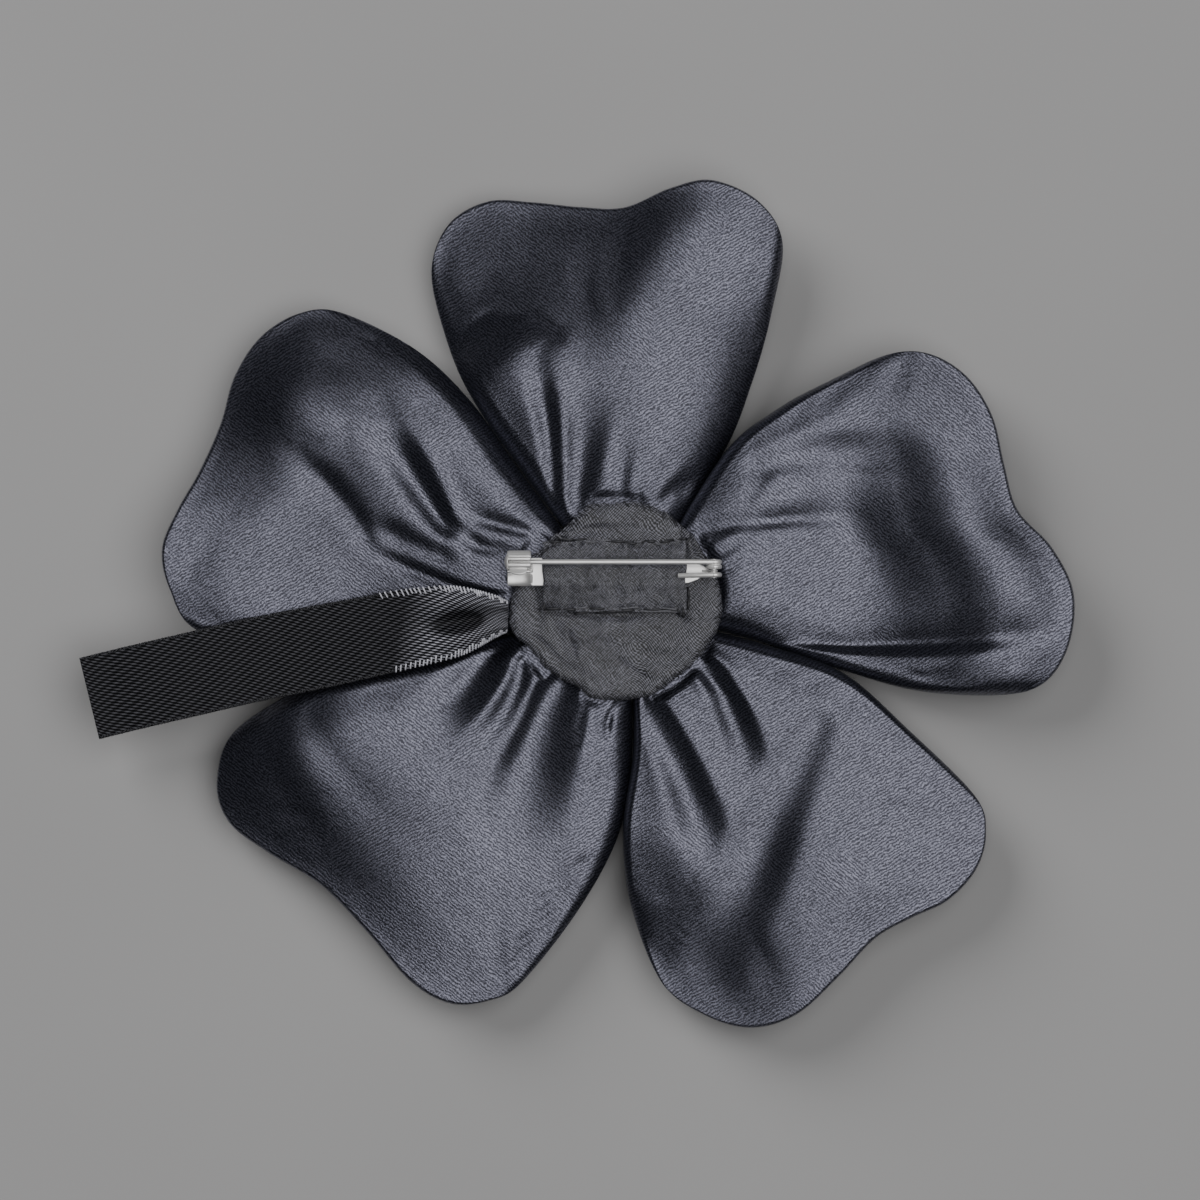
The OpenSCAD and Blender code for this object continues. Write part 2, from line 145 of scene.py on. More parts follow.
def grid(s, t):
    return np.meshgrid(s, t, indexing="ij")


def dense_ends(steps):
    """Numbers from 0 to 1 that lie closer together near both ends."""
    return (1 - np.cos(math.pi * np.arange(steps + 1) / steps)) / 2


def raised(plan, height, middle=FLOWER_AT):
    """Points from their plan, measured from the middle, and their height."""
    return np.concatenate([plan + middle, height[..., None]], -1).reshape(-1, 3)


def grid_quads(steps, first=0):
    across, along = steps
    i, j = grid(np.arange(across), np.arange(along))
    a = first + i * (along + 1) + j
    return np.stack([a, a + 1, a + along + 2, a + along + 1], -1).reshape(-1, 4)


def pad_faces(size, steps):
    """Faces of a closed piece between two grids of size points, with the same plan."""
    across, along = steps
    faces = [*grid_quads(steps).tolist(), *grid_quads(steps, size)[:, ::-1].tolist()]
    low_edge = [i * (along + 1) for i in range(across + 1)]
    right_edge = [across * (along + 1) + j for j in range(along + 1)]
    high_edge = [i + along for i in reversed(low_edge)]
    left_edge = list(range(along, -1, -1))
    for edge in (low_edge, right_edge, high_edge, left_edge):
        faces += [(a, b, b + size, a + size) for a, b in zip(edge, edge[1:])]
    return faces


def ring_faces(rings, around, closed_ends=False):
    """Faces between rings of points, with the first and the last ring filled in if their ends are closed."""
    faces = []
    for r in range(rings - 1):
        for k in range(around):
            a, b = r * around + k, r * around + (k + 1) % around
            faces.append((a, b, b + around, a + around))
    if closed_ends:
        last = (rings - 1) * around
        faces.append(tuple(reversed(range(around))))
        faces.append(tuple(range(last, last + around)))
    return faces


def merge_points(mesh):
    """Join points that lie together, and turn all the faces outwards."""
    shape = bmesh.new()
    shape.from_mesh(mesh)
    bmesh.ops.remove_doubles(shape, verts=shape.verts, dist=0.0005 * MM)
    bmesh.ops.recalc_face_normals(shape, faces=shape.faces)
    shape.to_mesh(mesh)
    shape.free()


def add_piece(name, points, faces, material, body="root", merge=True):
    """A new smooth mesh object from points in millimetres, riding on a body."""
    mesh = bpy.data.meshes.new(name)
    mesh.from_pydata((points * MM).tolist(), [], faces)
    if merge:
        merge_points(mesh)
    mesh.polygons.foreach_set("use_smooth", [True] * len(mesh.polygons))
    mesh.materials.append(material)
    piece = add_object(name, mesh)
    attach(piece, body)
    return piece


def add_pad(name, one, other, steps, material, replaced):
    """Closed piece between two grids of the same plan, in place of a CAD node."""
    faces = pad_faces(len(one), steps)
    piece = add_piece(name, np.concatenate([one, other]), faces, material)
    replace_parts(piece, replaced)
    return piece


class Shells:
    """Closed shells gathered into one mesh."""

    def __init__(self):
        self.points = []
        self.faces = []

    def add(self, points, faces):
        first = sum(map(len, self.points))
        self.points.append(points)
        self.faces += [tuple(k + first for k in face) for face in faces]

    def add_tube(self, path, radius, sides=6):
        """Round thread or wire along a path of points."""
        path = np.asarray(path, float)
        way = np.gradient(path, axis=0)
        way /= np.linalg.norm(way, axis=1)[:, None]
        side = np.cross(way, [0.03, 0.02, 1.0])
        side /= np.linalg.norm(side, axis=1)[:, None]
        up = np.cross(side, way)
        radius = np.broadcast_to(radius, len(path))[:, None, None]
        turn = (np.arange(sides) * 2 * math.pi / sides)[:, None]
        points = path[:, None] + (np.cos(turn) * side[:, None] + np.sin(turn) * up[:, None]) * radius
        self.add(points.reshape(-1, 3), ring_faces(len(path), sides, True))

    def thread_piece(self, name, material, slot="lining"):
        return add_piece(name, np.concatenate(self.points), self.faces, material, merge=False)

    def metal_piece(self, name, body, replaced):
        piece = add_piece(name, np.concatenate(self.points), self.faces, NICKEL, body)
        piece.data.set_sharp_from_angle(angle=math.radians(SHARP_ANGLE))
        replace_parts(piece, replaced)


# Materials. The scale of a texture is for one metre

# A wave texture of scale 1 repeats after this length
WAVE_LENGTH = 0.314
# Range that most of a noise lies in
MOST = (0.3, 0.7)
# Rows of the ribbon's weave, dashes along it, and how the rows slant
RIBBON_WEAVE = (26, 68)
RIBBON_SLANT = -433.0
# Middle of the ribbon's hollow across and along it, and one over its half sizes. There the dense black weave
# shows, and the darkness of the hollow is also painted shade
DENSE_AND_PAINTED_SHADE_AT = (0.47, 0.2, 0)
DENSE_AND_PAINTED_SHADE_TIGHT = (4.6, 11.0, 0)
# Along the twill backing: where its ribs cross over, and where they turn into a zigzag, with its half period
CROSSING_X = (0.5 * MM, 9.0 * MM)
ZIGZAG_Y = (6.5 * MM, 7.5 * MM)
ZIGZAG_HALF = 4.2 * MM


class Paint:
    """A material, with short calls that add nodes to it."""

    def __init__(self, name, woven=False):
        self.material = bpy.data.materials.new(name)
        self.material.use_nodes = True
        self.material.node_tree.nodes.clear()
        self.shader = self.node("BsdfPrincipled")
        self.node("OutputMaterial", {"Surface": self.shader.outputs["BSDF"]})
        self.place = self.node("UVMap").outputs["UV"] if woven else self.node("TexCoord").outputs["Object"]

    def fill(self, made, inputs):
        """Set inputs of a node to numbers, to colours, or to what other nodes give."""
        for key, value in inputs.items():
            if isinstance(value, bpy.types.NodeSocket):
                self.material.node_tree.links.new(value, made.inputs[key])
            else:
                made.inputs[key].default_value = value

    def finish(self, inputs):
        self.fill(self.shader, inputs)
        return self.material

    def node(self, kind, inputs=None, **settings):
        made = self.material.node_tree.nodes.new("ShaderNode" + kind)
        for key, value in settings.items():
            setattr(made, key, value)
        self.fill(made, inputs or {})
        return made

    def ramp(self, factor, between, low, high):
        """Colour from low to high as the factor crosses a range."""
        made = self.node("ValToRGB", {"Fac": factor})
        for stop, position, colour in zip(made.color_ramp.elements, between, (low, high)):
            stop.position = position
            stop.color = (*colour, 1)
        return made.outputs["Color"]

    def spread(self, value, between, low=0, high=1):
        """Number from low to high as the value crosses a range."""
        return self.node("MapRange", {
            "Value": value, "From Min": between[0], "From Max": between[1], "To Min": low,
            "To Max": high}).outputs["Result"]

    def noise(self, scale, detail=2.0, roughness=0.5, distortion=0.0):
        return self.node("TexNoise", {
            "Vector": self.place, "Scale": scale, "Detail": detail, "Roughness": roughness,
            "Distortion": distortion}).outputs["Fac"]

    def maths(self, operation, a, b=0.0):
        return self.node("Math", {0: a, 1: b}, operation=operation).outputs["Value"]

    def add(self, total, *others):
        for other in others:
            total = self.maths("ADD", total, other)
        return total

    def times(self, a, b):
        return self.maths("MULTIPLY", a, b)

    def wave(self, value, turns):
        return self.maths("SINE", self.times(value, turns))

    def mixed(self, share, a, b):
        return self.node("Mix", {0: share, 2: a, 3: b}).outputs[0]

    def vector(self, operation, a, b):
        return self.node("VectorMath", {0: a, 1: b}, operation=operation).outputs["Vector"]

    def plan(self, place):
        parts = self.node("SeparateXYZ", {"Vector": place})
        return parts.outputs["X"], parts.outputs["Y"]

    def bump(self, height, distance, strength=1.0):
        """Relief with a full height of distance millimetres."""
        return self.node("Bump", {
            "Height": height, "Distance": distance * MM, "Strength": strength}).outputs["Normal"]

    def threads(self, turn, period, wander_by):
        """Wavy thread lines, from 0 to 1, that lie turn radians from the Y axis."""
        turned = self.node("Mapping", {"Vector": self.place, "Rotation": (0, 0, turn)}).outputs["Vector"]
        return self.node("TexWave", {
            "Vector": turned, "Scale": WAVE_LENGTH / (period * MM), "Distortion": wander_by,
            "Detail": 2.0, "Detail Scale": 1.1, "Detail Roughness": 0.6}).outputs["Fac"]


def satin_material(name, dark, light, roughness):
    """Satin whose sheen is broken up by short wavy threads."""
    paint = Paint(name)
    drift = paint.noise(60)
    fine = paint.noise(5200, roughness=0.6, distortion=1.0)
    lines = paint.mixed(paint.spread(drift, (0.47, 0.55)), *(paint.threads(turn, 0.36, 7.0)
                                                             for turn in (-0.9, -2.1)))
    grain = paint.add(paint.times(lines, 0.26), fine)
    return paint.finish({
        "Base Color": paint.ramp(grain, (0.5, 0.95), dark, light),
        "Roughness": paint.spread(drift, MOST, roughness - 0.03, roughness + 0.04),
        "Specular IOR Level": paint.spread(grain, (0.52, 0.84), 0.2, 1.0),
        "IOR": 1.98,
        "Specular Tint": (0.8, 0.805, 1.0, 1),
        "Sheen Weight": 0.02,
        "Sheen Roughness": 0.45,
        "Sheen Tint": (0.7, 0.76, 1.0, 1),
        "Normal": paint.bump(grain, 0.03, 0.9)})


def twill_material(name, dark, light, pitch, ribbed):
    """Dull twill of short dashes. Above the pin its ribs run in a zigzag, and below it they cross over."""
    paint = Paint(name)
    wobble = paint.noise(260, 3.0)
    x, y = paint.plan(paint.vector("ADD", paint.place, paint.times(wobble, 1.6 * MM)))
    turns = 2 * math.pi / (pitch * MM)
    falling, rising = paint.add(x, y), paint.maths("SUBTRACT", x, y)
    zigzag = paint.spread(paint.wave(x, math.pi / ZIGZAG_HALF), (-0.15, 0.15))
    share = paint.mixed(paint.spread(y, ZIGZAG_Y), paint.spread(x, CROSSING_X), zigzag)
    ribs = paint.mixed(share, paint.wave(rising, turns), paint.wave(falling, turns))
    dashes = paint.mixed(share, paint.wave(falling, turns * 0.62), paint.wave(rising, turns * 0.62))
    broken = paint.add(ribs, paint.times(dashes, 0.55))
    crackle = paint.noise(3400, distortion=1.5)
    weave = paint.add(paint.spread(broken, (-1, 1), 0.3 - 0.22 * ribbed, 0.3 + 0.22 * ribbed),
                      paint.times(crackle, 0.8), paint.spread(wobble, (0.35, 0.65), -0.05, 0.05))
    return paint.finish({
        "Base Color": paint.ramp(weave, (0.58, 0.98), dark, light),
        "Roughness": paint.spread(wobble, MOST, 0.4, 0.52),
        "Specular IOR Level": 0.5,
        "Sheen Weight": 0.05,
        "Sheen Roughness": 0.5,
        "Normal": paint.bump(weave, 0.07, 0.8)})


def ribbon_material(name):
    """Black ribbon woven in rows of dashes, lighter where it is gathered. In its hollow the light colour is
    taken out: the dense black weave shows there, and that darkness is also painted shade.
    """
    paint = Paint(name, woven=True)
    across, along = paint.plan(paint.place)
    slanted = paint.add(paint.times(across, 2 * math.pi * RIBBON_WEAVE[0]), paint.times(along, RIBBON_SLANT))
    shifted = paint.add(paint.times(along, 2 * math.pi * RIBBON_WEAVE[1]), paint.times(slanted, 0.5))
    speckle = paint.noise(300)
    skewed = paint.add(along, paint.times(across, 0.07))
    # Mask of the hollow, where the light sheer colour is taken out to paint its shade
    aside = paint.vector("MULTIPLY", paint.vector("SUBTRACT", paint.place, DENSE_AND_PAINTED_SHADE_AT), DENSE_AND_PAINTED_SHADE_TIGHT)
    length = paint.node("VectorMath", {0: aside}, operation="LENGTH").outputs["Value"]
    sheer_outside_painted_hollow = paint.times(paint.spread(skewed, (0.3, 0.37), 1, 0), paint.spread(length, (0.7, 1.0)))
    rows, dashes = paint.maths("SINE", slanted), paint.maths("SINE", shifted)
    weave = paint.add(paint.spread(rows, (-1, 1), 0, 0.5), paint.spread(dashes, (-1, 1), 0, 0.3),
                      paint.times(speckle, 0.45))
    dense = paint.ramp(weave, (0.58, 1.0), (0.0006, 0.0006, 0.001), (0.075, 0.075, 0.085))
    light = paint.ramp(weave, (0.62, 1.0), (0.002, 0.002, 0.003), (0.38, 0.38, 0.43))
    blend = paint.node("Mix", {"Factor": sheer_outside_painted_hollow, "A": dense, "B": light}, data_type="RGBA")
    return paint.finish({
        "Base Color": blend.outputs["Result"],
        "Roughness": paint.spread(speckle, MOST, 0.4, 0.55),
        "Specular IOR Level": 0.08,
        "Normal": paint.bump(weave, 0.06, 0.6)})


def thread_material(name, colour, roughness):
    paint = Paint(name)
    fuzz = paint.noise(5200)
    darker = tuple(c * 0.55 for c in colour)
    return paint.finish({
        "Base Color": paint.ramp(fuzz, (0.35, 0.65), darker, colour),
        "Roughness": roughness,
        "Normal": paint.bump(fuzz, 0.03)})


def nickel_material(name, roughness):
    paint = Paint(name)
    cloud = paint.noise(700)
    return paint.finish({
        "Base Color": paint.ramp(cloud, MOST, (0.84, 0.83, 0.82), (0.94, 0.93, 0.92)),
        "Roughness": paint.spread(cloud, MOST, roughness - 0.03, roughness + 0.04),
        "Metallic": 0.72,
        "Normal": paint.bump(cloud, 0.006, 0.5)})


def floor_material(name, dark, light):
    paint = Paint(name)
    return paint.finish({
        "Base Color": paint.ramp(paint.noise(9), (0.35, 0.65), dark, light),
        "Roughness": 0.9,
        "Specular IOR Level": 0.1})


SATIN = satin_material("satin", (0.003, 0.0031, 0.0045), (0.017, 0.0178, 0.024), 0.31)
LINING = twill_material("lining", (0.003, 0.003, 0.004), (0.17, 0.17, 0.2), 0.35, 1.0)
FINE_LINING = twill_material("fine_lining", (0.004, 0.004, 0.006), (0.17, 0.17, 0.2), 0.31, 0.6)
RIBBON = ribbon_material("ribbon")
NICKEL = nickel_material("nickel", 0.36)
THREAD = thread_material("thread", (0.035, 0.035, 0.04), 0.45)
# Lighter thread that stands for dark thread catching the light: a painted highlight
SHINE_PAINTED_THREAD = thread_material("shine_painted_thread", (0.13, 0.13, 0.145), 0.5)
LIGHT_THREAD = thread_material("light_thread", (0.62, 0.62, 0.68), 0.5)


# Petals. Sides run from the gathers to the outer corners, one row for a section:
# left x, left y, right x, right y, height of the seam
TOP_SIDES = [
    [-4.8, 6.9, 5.6, 6.4, 4.7],
    [-11.2, 15.7, 13.0, 18.2, 4.4],
    [-17.1, 24.3, 16.2, 26.2, 4.5],
    [-20.4, 31.6, 18.6, 34.4, 5.0],
    [-22.2, 39.5, 20.0, 42.8, 5.4]]
RIGHT_SIDES = [
    [5.8, 6.2, 8.2, -2.4, 4.7],
    [13.3, 17.9, 17.6, -4.8, 4.4],
    [19.3, 22.8, 27.0, -8.1, 4.6],
    [25.7, 26.4, 36.5, -10.8, 5.0],
    [32.4, 29.5, 46.2, -11.3, 5.2]]
LOWER_RIGHT_SIDES = [
    [8.1, -2.8, 2.0, -8.2, 4.7],
    [17.5, -5.3, 2.2, -17.7, 4.4],
    [26.9, -8.6, 1.0, -27.0, 4.6],
    [35.0, -15.4, 1.8, -36.4, 5.0],
    [43.0, -23.3, 5.4, -45.7, 5.2]]
LOWER_LEFT_SIDES = [
    [1.6, -8.3, -8.0, -2.8, 4.7],
    [1.8, -17.7, -17.4, -5.5, 4.4],
    [0.5, -27.0, -27.0, -7.6, 4.5],
    [-4.1, -36.4, -36.5, -10.0, 4.9],
    [-11.2, -45.7, -45.7, -15.5, 5.1]]
UPPER_LEFT_SIDES = [
    [-8.1, -2.4, -5.1, 6.7, 4.7],
    [-18.5, -5.1, -11.5, 15.4, 4.4],
    [-29.0, -6.9, -17.6, 23.9, 4.5],
    [-39.8, -6.6, -24.2, 30.2, 4.9],
    [-50.3, -3.5, -32.9, 34.6, 5.2]]

# Outer rims from the left corner to the right one: x, y
TOP_RIM = [
    [-22.2, 39.5], [-20.2, 45.2], [-15.5, 48.0], [-10.0, 47.9], [-4.4, 47.3], [1.0, 47.2], [6.6, 49.5],
    [11.6, 50.4], [17.2, 47.8], [20.0, 42.8]]
RIGHT_RIM = [
    [32.4, 29.5], [37.4, 29.7], [42.0, 27.0], [45.1, 22.2], [46.5, 16.4], [48.1, 10.9], [52.2, 6.4],
    [54.8, 1.0], [54.3, -5.2], [51.4, -9.8], [46.2, -11.3]]
LOWER_RIGHT_RIM = [
    [43.0, -23.3], [44.4, -27.8], [43.2, -32.2], [39.8, -35.9], [35.6, -37.9], [31.1, -40.4], [26.6, -45.1],
    [21.6, -49.6], [16.2, -51.2], [10.6, -49.7], [5.4, -45.7]]
LOWER_LEFT_RIM = [
    [-11.2, -45.7], [-15.3, -48.0], [-19.9, -48.3], [-24.6, -45.7], [-29.8, -39.8], [-35.3, -34.2],
    [-42.0, -30.1], [-46.6, -26.5], [-48.0, -21.6], [-45.7, -15.5]]
UPPER_LEFT_RIM = [
    [-50.3, -3.5], [-53.5, 1.4], [-54.4, 6.2], [-52.6, 10.8], [-50.0, 15.5], [-47.5, 21.2], [-45.8, 27.0],
    [-42.6, 31.8], [-37.9, 34.6], [-32.9, 34.6]]

# Folds and dents, each along a bend from the gathers outwards. Depth is above 0 for a dent and below 0
# for a ridge, and it fades out at the outer end. Left is the left hand of someone who walks along the bend.
# Form is 0 for a round dent, 1 for the crest of a pleat that drops steeply on the left, -1 for one that
# drops steeply on the right, and 2 for a sharp crease.
# from x, y, over x, y, to x, y, left width, right width, depth at the start, depth at the end, form
TOP_FOLDS = [
    [-6.3, 10.0, -6.4, 20.0, -8.8, 34.0, 4.2, 2.6, 0.6, 1.0, 1],
    [-4.6, 12.0, -4.4, 18.0, -2.4, 29.0, 3.4, 4.6, 0.9, 0.9, 0],
    [0.2, 14.0, 1.0, 17.5, 3.4, 23.0, 2.6, 3.4, 0.2, 0.3, 0],
    [4.9, 12.8, 6.6, 14.6, 9.4, 16.6, 1.2, 4.4, 0.5, 0.7, -1],
    [-3.0, 12.2, 1.5, 12.9, 5.4, 12.3, 0.9, 0.8, 0.4, 0.5, 2]]
RIGHT_FOLDS = [
    [9.4, 7.7, 18.5, 9.3, 34.0, 10.0, 4.0, 0.8, 0.5, 1.1, 2],
    [17.0, 15.8, 28.0, 17.6, 40.0, 16.0, 4.6, 3.6, 0.4, 0.8, 0],
    [12.2, -3.7, 33.0, -5.6, 60.0, -3.0, 7.5, 0.9, 0.5, 2.6, 2],
    [45.8, -4.2, 47.4, -6.0, 47.8, -9.4, 2.4, 2.4, 0.1, 0.35, 0]]
LOWER_RIGHT_FOLDS = [
    [11.2, -6.4, 15.8, -12.4, 20.6, -25.0, 2.2, 6.0, 1.0, 1.1, -1],
    [5.2, -11.2, 10.6, -20.0, 17.6, -36.0, 2.4, 8.0, 0.6, 1.5, -1],
    [23.8, -15.0, 18.2, -27.5, 9.0, -50.0, 6.0, 7.0, 0.6, 1.5, 0]]
LOWER_LEFT_FOLDS = [
    [-11.8, -5.6, -14.8, -11.6, -21.0, -19.0, 1.8, 9.0, 1.0, 1.5, -1],
    [-10.2, -7.6, -11.2, -13.4, -16.4, -22.0, 2.0, 4.6, 0.7, 0.8, -1],
    [-7.0, -10.2, -10.4, -18.0, -15.0, -34.0, 9.0, 5.0, 1.6, 1.7, 0],
    [-34.0, -8.0, -38.8, -17.5, -20.0, -38.0, 5.0, 5.0, -0.5, -0.6, 0],
    [1.0, -12.0, -1.0, -14.4, -0.2, -17.8, 1.0, 1.2, 0.6, 0.8, 2]]
UPPER_LEFT_FOLDS = [
    [-29.6, 7.2, -33.4, 12.8, -42.0, 20.5, 3.6, 2.4, 0.7, 1.3, 2],
    [-13.6, 0.6, -23.0, 3.2, -33.0, 9.0, 2.0, 1.2, 0.5, 0.9, 2],
    [-20.6, 5.2, -26.0, 7.4, -31.0, 10.0, 2.0, 2.6, 0.4, 0.9, 0],
    [-19.4, 10.2, -22.2, 16.0, -28.0, 27.0, 6.5, 3.0, 1.1, 1.0, 1],
    [-7.2, 7.5, -13.5, 8.9, -19.8, 10.6, 1.2, 2.2, 0.5, 0.9, 2],
    [-13.8, 6.4, -16.6, 6.6, -19.2, 9.3, 1.4, 1.4, 0.4, 0.8, 0]]

# Height of the upper cloth, a row for each even step from the gathers to the rim. The gathers themselves are
# level and have no row. A row has seven even steps from the left side to the right one
TOP_RELIEF = [
    [7.0, 7.4, 7.5, 7.5, 7.4, 6.4, 4.2],
    [7.0, 7.6, 7.7, 7.7, 7.6, 6.4, 3.6],
    [6.8, 7.8, 7.8, 7.9, 7.9, 7.0, 3.9],
    [4.0, 4.8, 6.2, 7.8, 8.4, 7.9, 5.2],
    [3.3, 3.9, 5.1, 6.8, 8.4, 8.1, 6.4],
    [3.4, 3.7, 4.4, 5.7, 7.2, 7.4, 6.4]]
RIGHT_RELIEF = [
    [7.0, 7.5, 7.6, 7.6, 7.5, 7.3, 6.9],
    [7.1, 7.5, 7.3, 6.7, 5.9, 6.1, 6.9],
    [6.9, 7.1, 6.2, 5.4, 5.5, 5.9, 6.7],
    [6.7, 6.9, 6.8, 6.9, 7.3, 7.2, 6.7],
    [6.4, 6.9, 7.8, 8.7, 9.1, 8.5, 6.9],
    [6.0, 6.2, 6.8, 7.3, 7.3, 6.9, 6.0]]
LOWER_RIGHT_RELIEF = [
    [6.9, 7.5, 7.6, 7.5, 7.5, 7.5, 7.2],
    [6.8, 7.4, 7.6, 7.5, 7.5, 7.6, 7.4],
    [6.7, 7.3, 7.5, 7.5, 7.4, 7.6, 7.5],
    [6.5, 7.1, 7.4, 7.8, 7.3, 6.2, 6.3],
    [6.2, 6.8, 7.5, 8.0, 7.3, 5.0, 4.2],
    [5.6, 6.0, 6.6, 7.0, 6.9, 5.9, 4.6]]
LOWER_LEFT_RELIEF = [
    [6.8, 7.2, 7.4, 7.5, 7.5, 7.4, 7.0],
    [6.4, 6.9, 7.2, 7.5, 7.7, 7.7, 7.2],
    [6.3, 6.7, 7.0, 7.4, 7.9, 8.1, 7.4],
    [6.0, 6.4, 7.0, 7.6, 8.2, 8.4, 7.2],
    [5.6, 6.1, 6.7, 7.2, 6.9, 6.7, 5.7],
    [5.0, 5.7, 6.2, 5.9, 4.6, 3.9, 3.9]]
UPPER_LEFT_RELIEF = [
    [6.9, 7.1, 7.1, 7.2, 7.3, 7.5, 6.9],
    [6.7, 6.6, 6.8, 7.4, 7.3, 7.7, 6.8],
    [6.4, 6.2, 6.3, 7.3, 7.6, 7.7, 6.8],
    [6.5, 6.5, 6.5, 6.8, 7.9, 7.3, 6.2],
    [6.7, 7.1, 6.9, 6.9, 7.7, 5.8, 5.3],
    [6.8, 7.4, 7.1, 5.6, 4.8, 4.4, 4.6]]

Petal = namedtuple("Petal", "name sides rim relief folds shoulders seed")
# Shoulders say how far in from its left and its right side a petal has reached its full height
PETALS = [
    Petal("petal_top", TOP_SIDES, TOP_RIM, TOP_RELIEF, TOP_FOLDS, (2.2, 2.4), 1),
    Petal("petal_right", RIGHT_SIDES, RIGHT_RIM, RIGHT_RELIEF, RIGHT_FOLDS, (1.6, 2.4), 2),
    Petal("petal_lower_right", LOWER_RIGHT_SIDES, LOWER_RIGHT_RIM, LOWER_RIGHT_RELIEF, LOWER_RIGHT_FOLDS,
          (1.4, 0.9), 3),
    Petal("petal_lower_left", LOWER_LEFT_SIDES, LOWER_LEFT_RIM, LOWER_LEFT_RELIEF, LOWER_LEFT_FOLDS,
          (3.2, 2.4), 4),
    Petal("petal_upper_left", UPPER_LEFT_SIDES, UPPER_LEFT_RIM, UPPER_LEFT_RELIEF, UPPER_LEFT_FOLDS,
          (2.2, 3.2), 5)]

# Gathers: their distance from the middle, height above and below, and half thickness of the edge there
GATHER_R = 8.4
GATHER_HIGH = 7.0
GATHER_LOW = 2.6
GATHER_HALF = 1.5
# Half thickness of the edge along the rim
RIM_HALF = 0.55
# Half width of the backing, and how steeply the petals may rise beside it
BACKING_HALF = 12.6
HELD_SLOPE = 1.5
# How far the padding hangs below the seam, from the gathers to the rim
HANG = [[0.4], [1.5], [2.9], [3.7], [3.4], [2.1], [0]]
# How far the seam's level sags on the way to the rim, and the least thickness of a petal inside its edge
PETAL_SAG = 1.1
THINNEST = 1.0
# The higher, the more square is a section across the padding
FULLNESS = 2.8
# How far in from its rim a petal has reached its full height, and how much fuller than its seam the rim is
RIM_SHOULDER = 0.4
RIM_CROWN = 0.1
# How far the sides of a petal swell towards its neighbours: at the gathers, and further out. Then the part
# of the length over which that grows, the place where it starts to fade, and the part over which it fades
SIDE_SWELL = (0.11, 0.18)
SWELL_GROWS = 0.25
SWELL_TO = 0.5
SWELL_FADES = 0.4
# Ripples next to the gathers: depth, number, and the parts of the length over which they start and end
RIPPLE_DEPTH = 0.07
RIPPLES = 4.3
RIPPLE_START = 0.08
RIPPLE_END = 0.25
# Uneven satin: depth and size of the waves
SATIN_WAVES = ((0.018, 9), (0.005, 3.5))
# Over this part of the length, and this far in from the rim, the folds come in
FOLDS_START = 0.12
FOLDS_END = 3.0
FOLD_STEPS = 14
# The outer part of a fold over which it fades out, and how far its line is rounded off
FOLD_FADE = 0.5
FOLD_SOFT = 0.12
SOFT_ROUNDS = 9
# Width of a fold where it starts, as a part of its width at the outer end
FOLD_NARROW = 0.5
# How far the crest of a pleat stands out, as a part of its depth, and how near to the crest its drop lies
PLEAT_CREST = 0.3
PLEAT_STEEP = 0.5
PETAL_STEPS = (150, 150)
# How much closer the points of a petal lie near its sides, and near its rim
DENSE_SIDES = 0.75
DENSE_RIM = 0.6
# Cloth simulation of the filling: points across and along, metres for each millimetre of the petal, frames,
# the most by which a point may move up or down, least thickness, and Blender's settings
CLOTH_STEPS = (40, 36)
CLOTH_SCALE = 0.01
CLOTH_FRAMES = 20
CLOTH_MOVE = 0.3
CLOTH_THIN = 0.05
CLOTH_SETTINGS = {
    "quality": 6, "mass": 0.3, "tension_stiffness": 12, "compression_stiffness": 12, "shear_stiffness": 4,
    "bending_stiffness": 0.05, "use_pressure": True, "uniform_pressure_force": 0.35}
# How far in from its rim and its sides a petal shows the full moves
SETTLE_FROM_RIM = 7.0
SETTLE_FROM_SIDE = 5.0


def petal_plan(petal, u, v):
    """Plan of a petal at u across and v along, worked out from its four edges."""
    edges = np.array(petal.sides)[:, :4]
    outline = np.array(petal.rim)
    side = row_at(edges, v, after=[*outline[1], *outline[-2]])
    tip = row_at(outline, u, before=edges[-2, :2], after=edges[-2, 2:])
    across = side[..., 2:] - side[..., :2]
    swell = mix(*SIDE_SWELL, ease(v / SWELL_GROWS)) * (1 - ease((v - SWELL_TO) / SWELL_FADES))
    push = across / np.linalg.norm(across, axis=-1)[..., None] * swell[..., None]
    left, right = side[..., :2] - push, side[..., 2:] + push
    first, last = edges[0], edges[-1]
    start = math.atan2(first[1], first[0])
    end = math.atan2(first[3], first[2])
    if end > start:
        end -= 2 * math.pi
    turn = mix(start, end, u)
    inner = GATHER_R * np.stack([np.cos(turn), np.sin(turn)], -1)
    u, v = u[..., None], v[..., None]
    corners = mix(mix(first[:2], first[2:], u), mix(last[:2], last[2:], u), v)
    return mix(left, right, u) + mix(inner, tip, v) - corners


def beside_fold(points, path):
    """How far each point is from a fold, how far along it, and on which hand, from 0 on the right to 1."""
    near = np.full(points.shape[:-1], 1e9)
    place = np.zeros(near.shape)
    hand = np.zeros(near.shape)
    for k in range(FOLD_STEPS):
        way = path[k + 1] - path[k]
        length = np.linalg.norm(way)
        away = points - path[k]
        along = np.clip(away @ way / length ** 2, 0, 1)
        distance = np.linalg.norm(away - along[..., None] * way, axis=-1)
        crossing = (way[0] * away[..., 1] - way[1] * away[..., 0]) / length
        closer = distance < near
        near = np.where(closer, distance, near)
        place = np.where(closer, (k + along) / FOLD_STEPS, place)
        hand = np.where(closer, crossing / np.maximum(distance, 1e-6), hand)
    return near, place, np.clip(0.5 + 0.5 * hand, 0, 1)


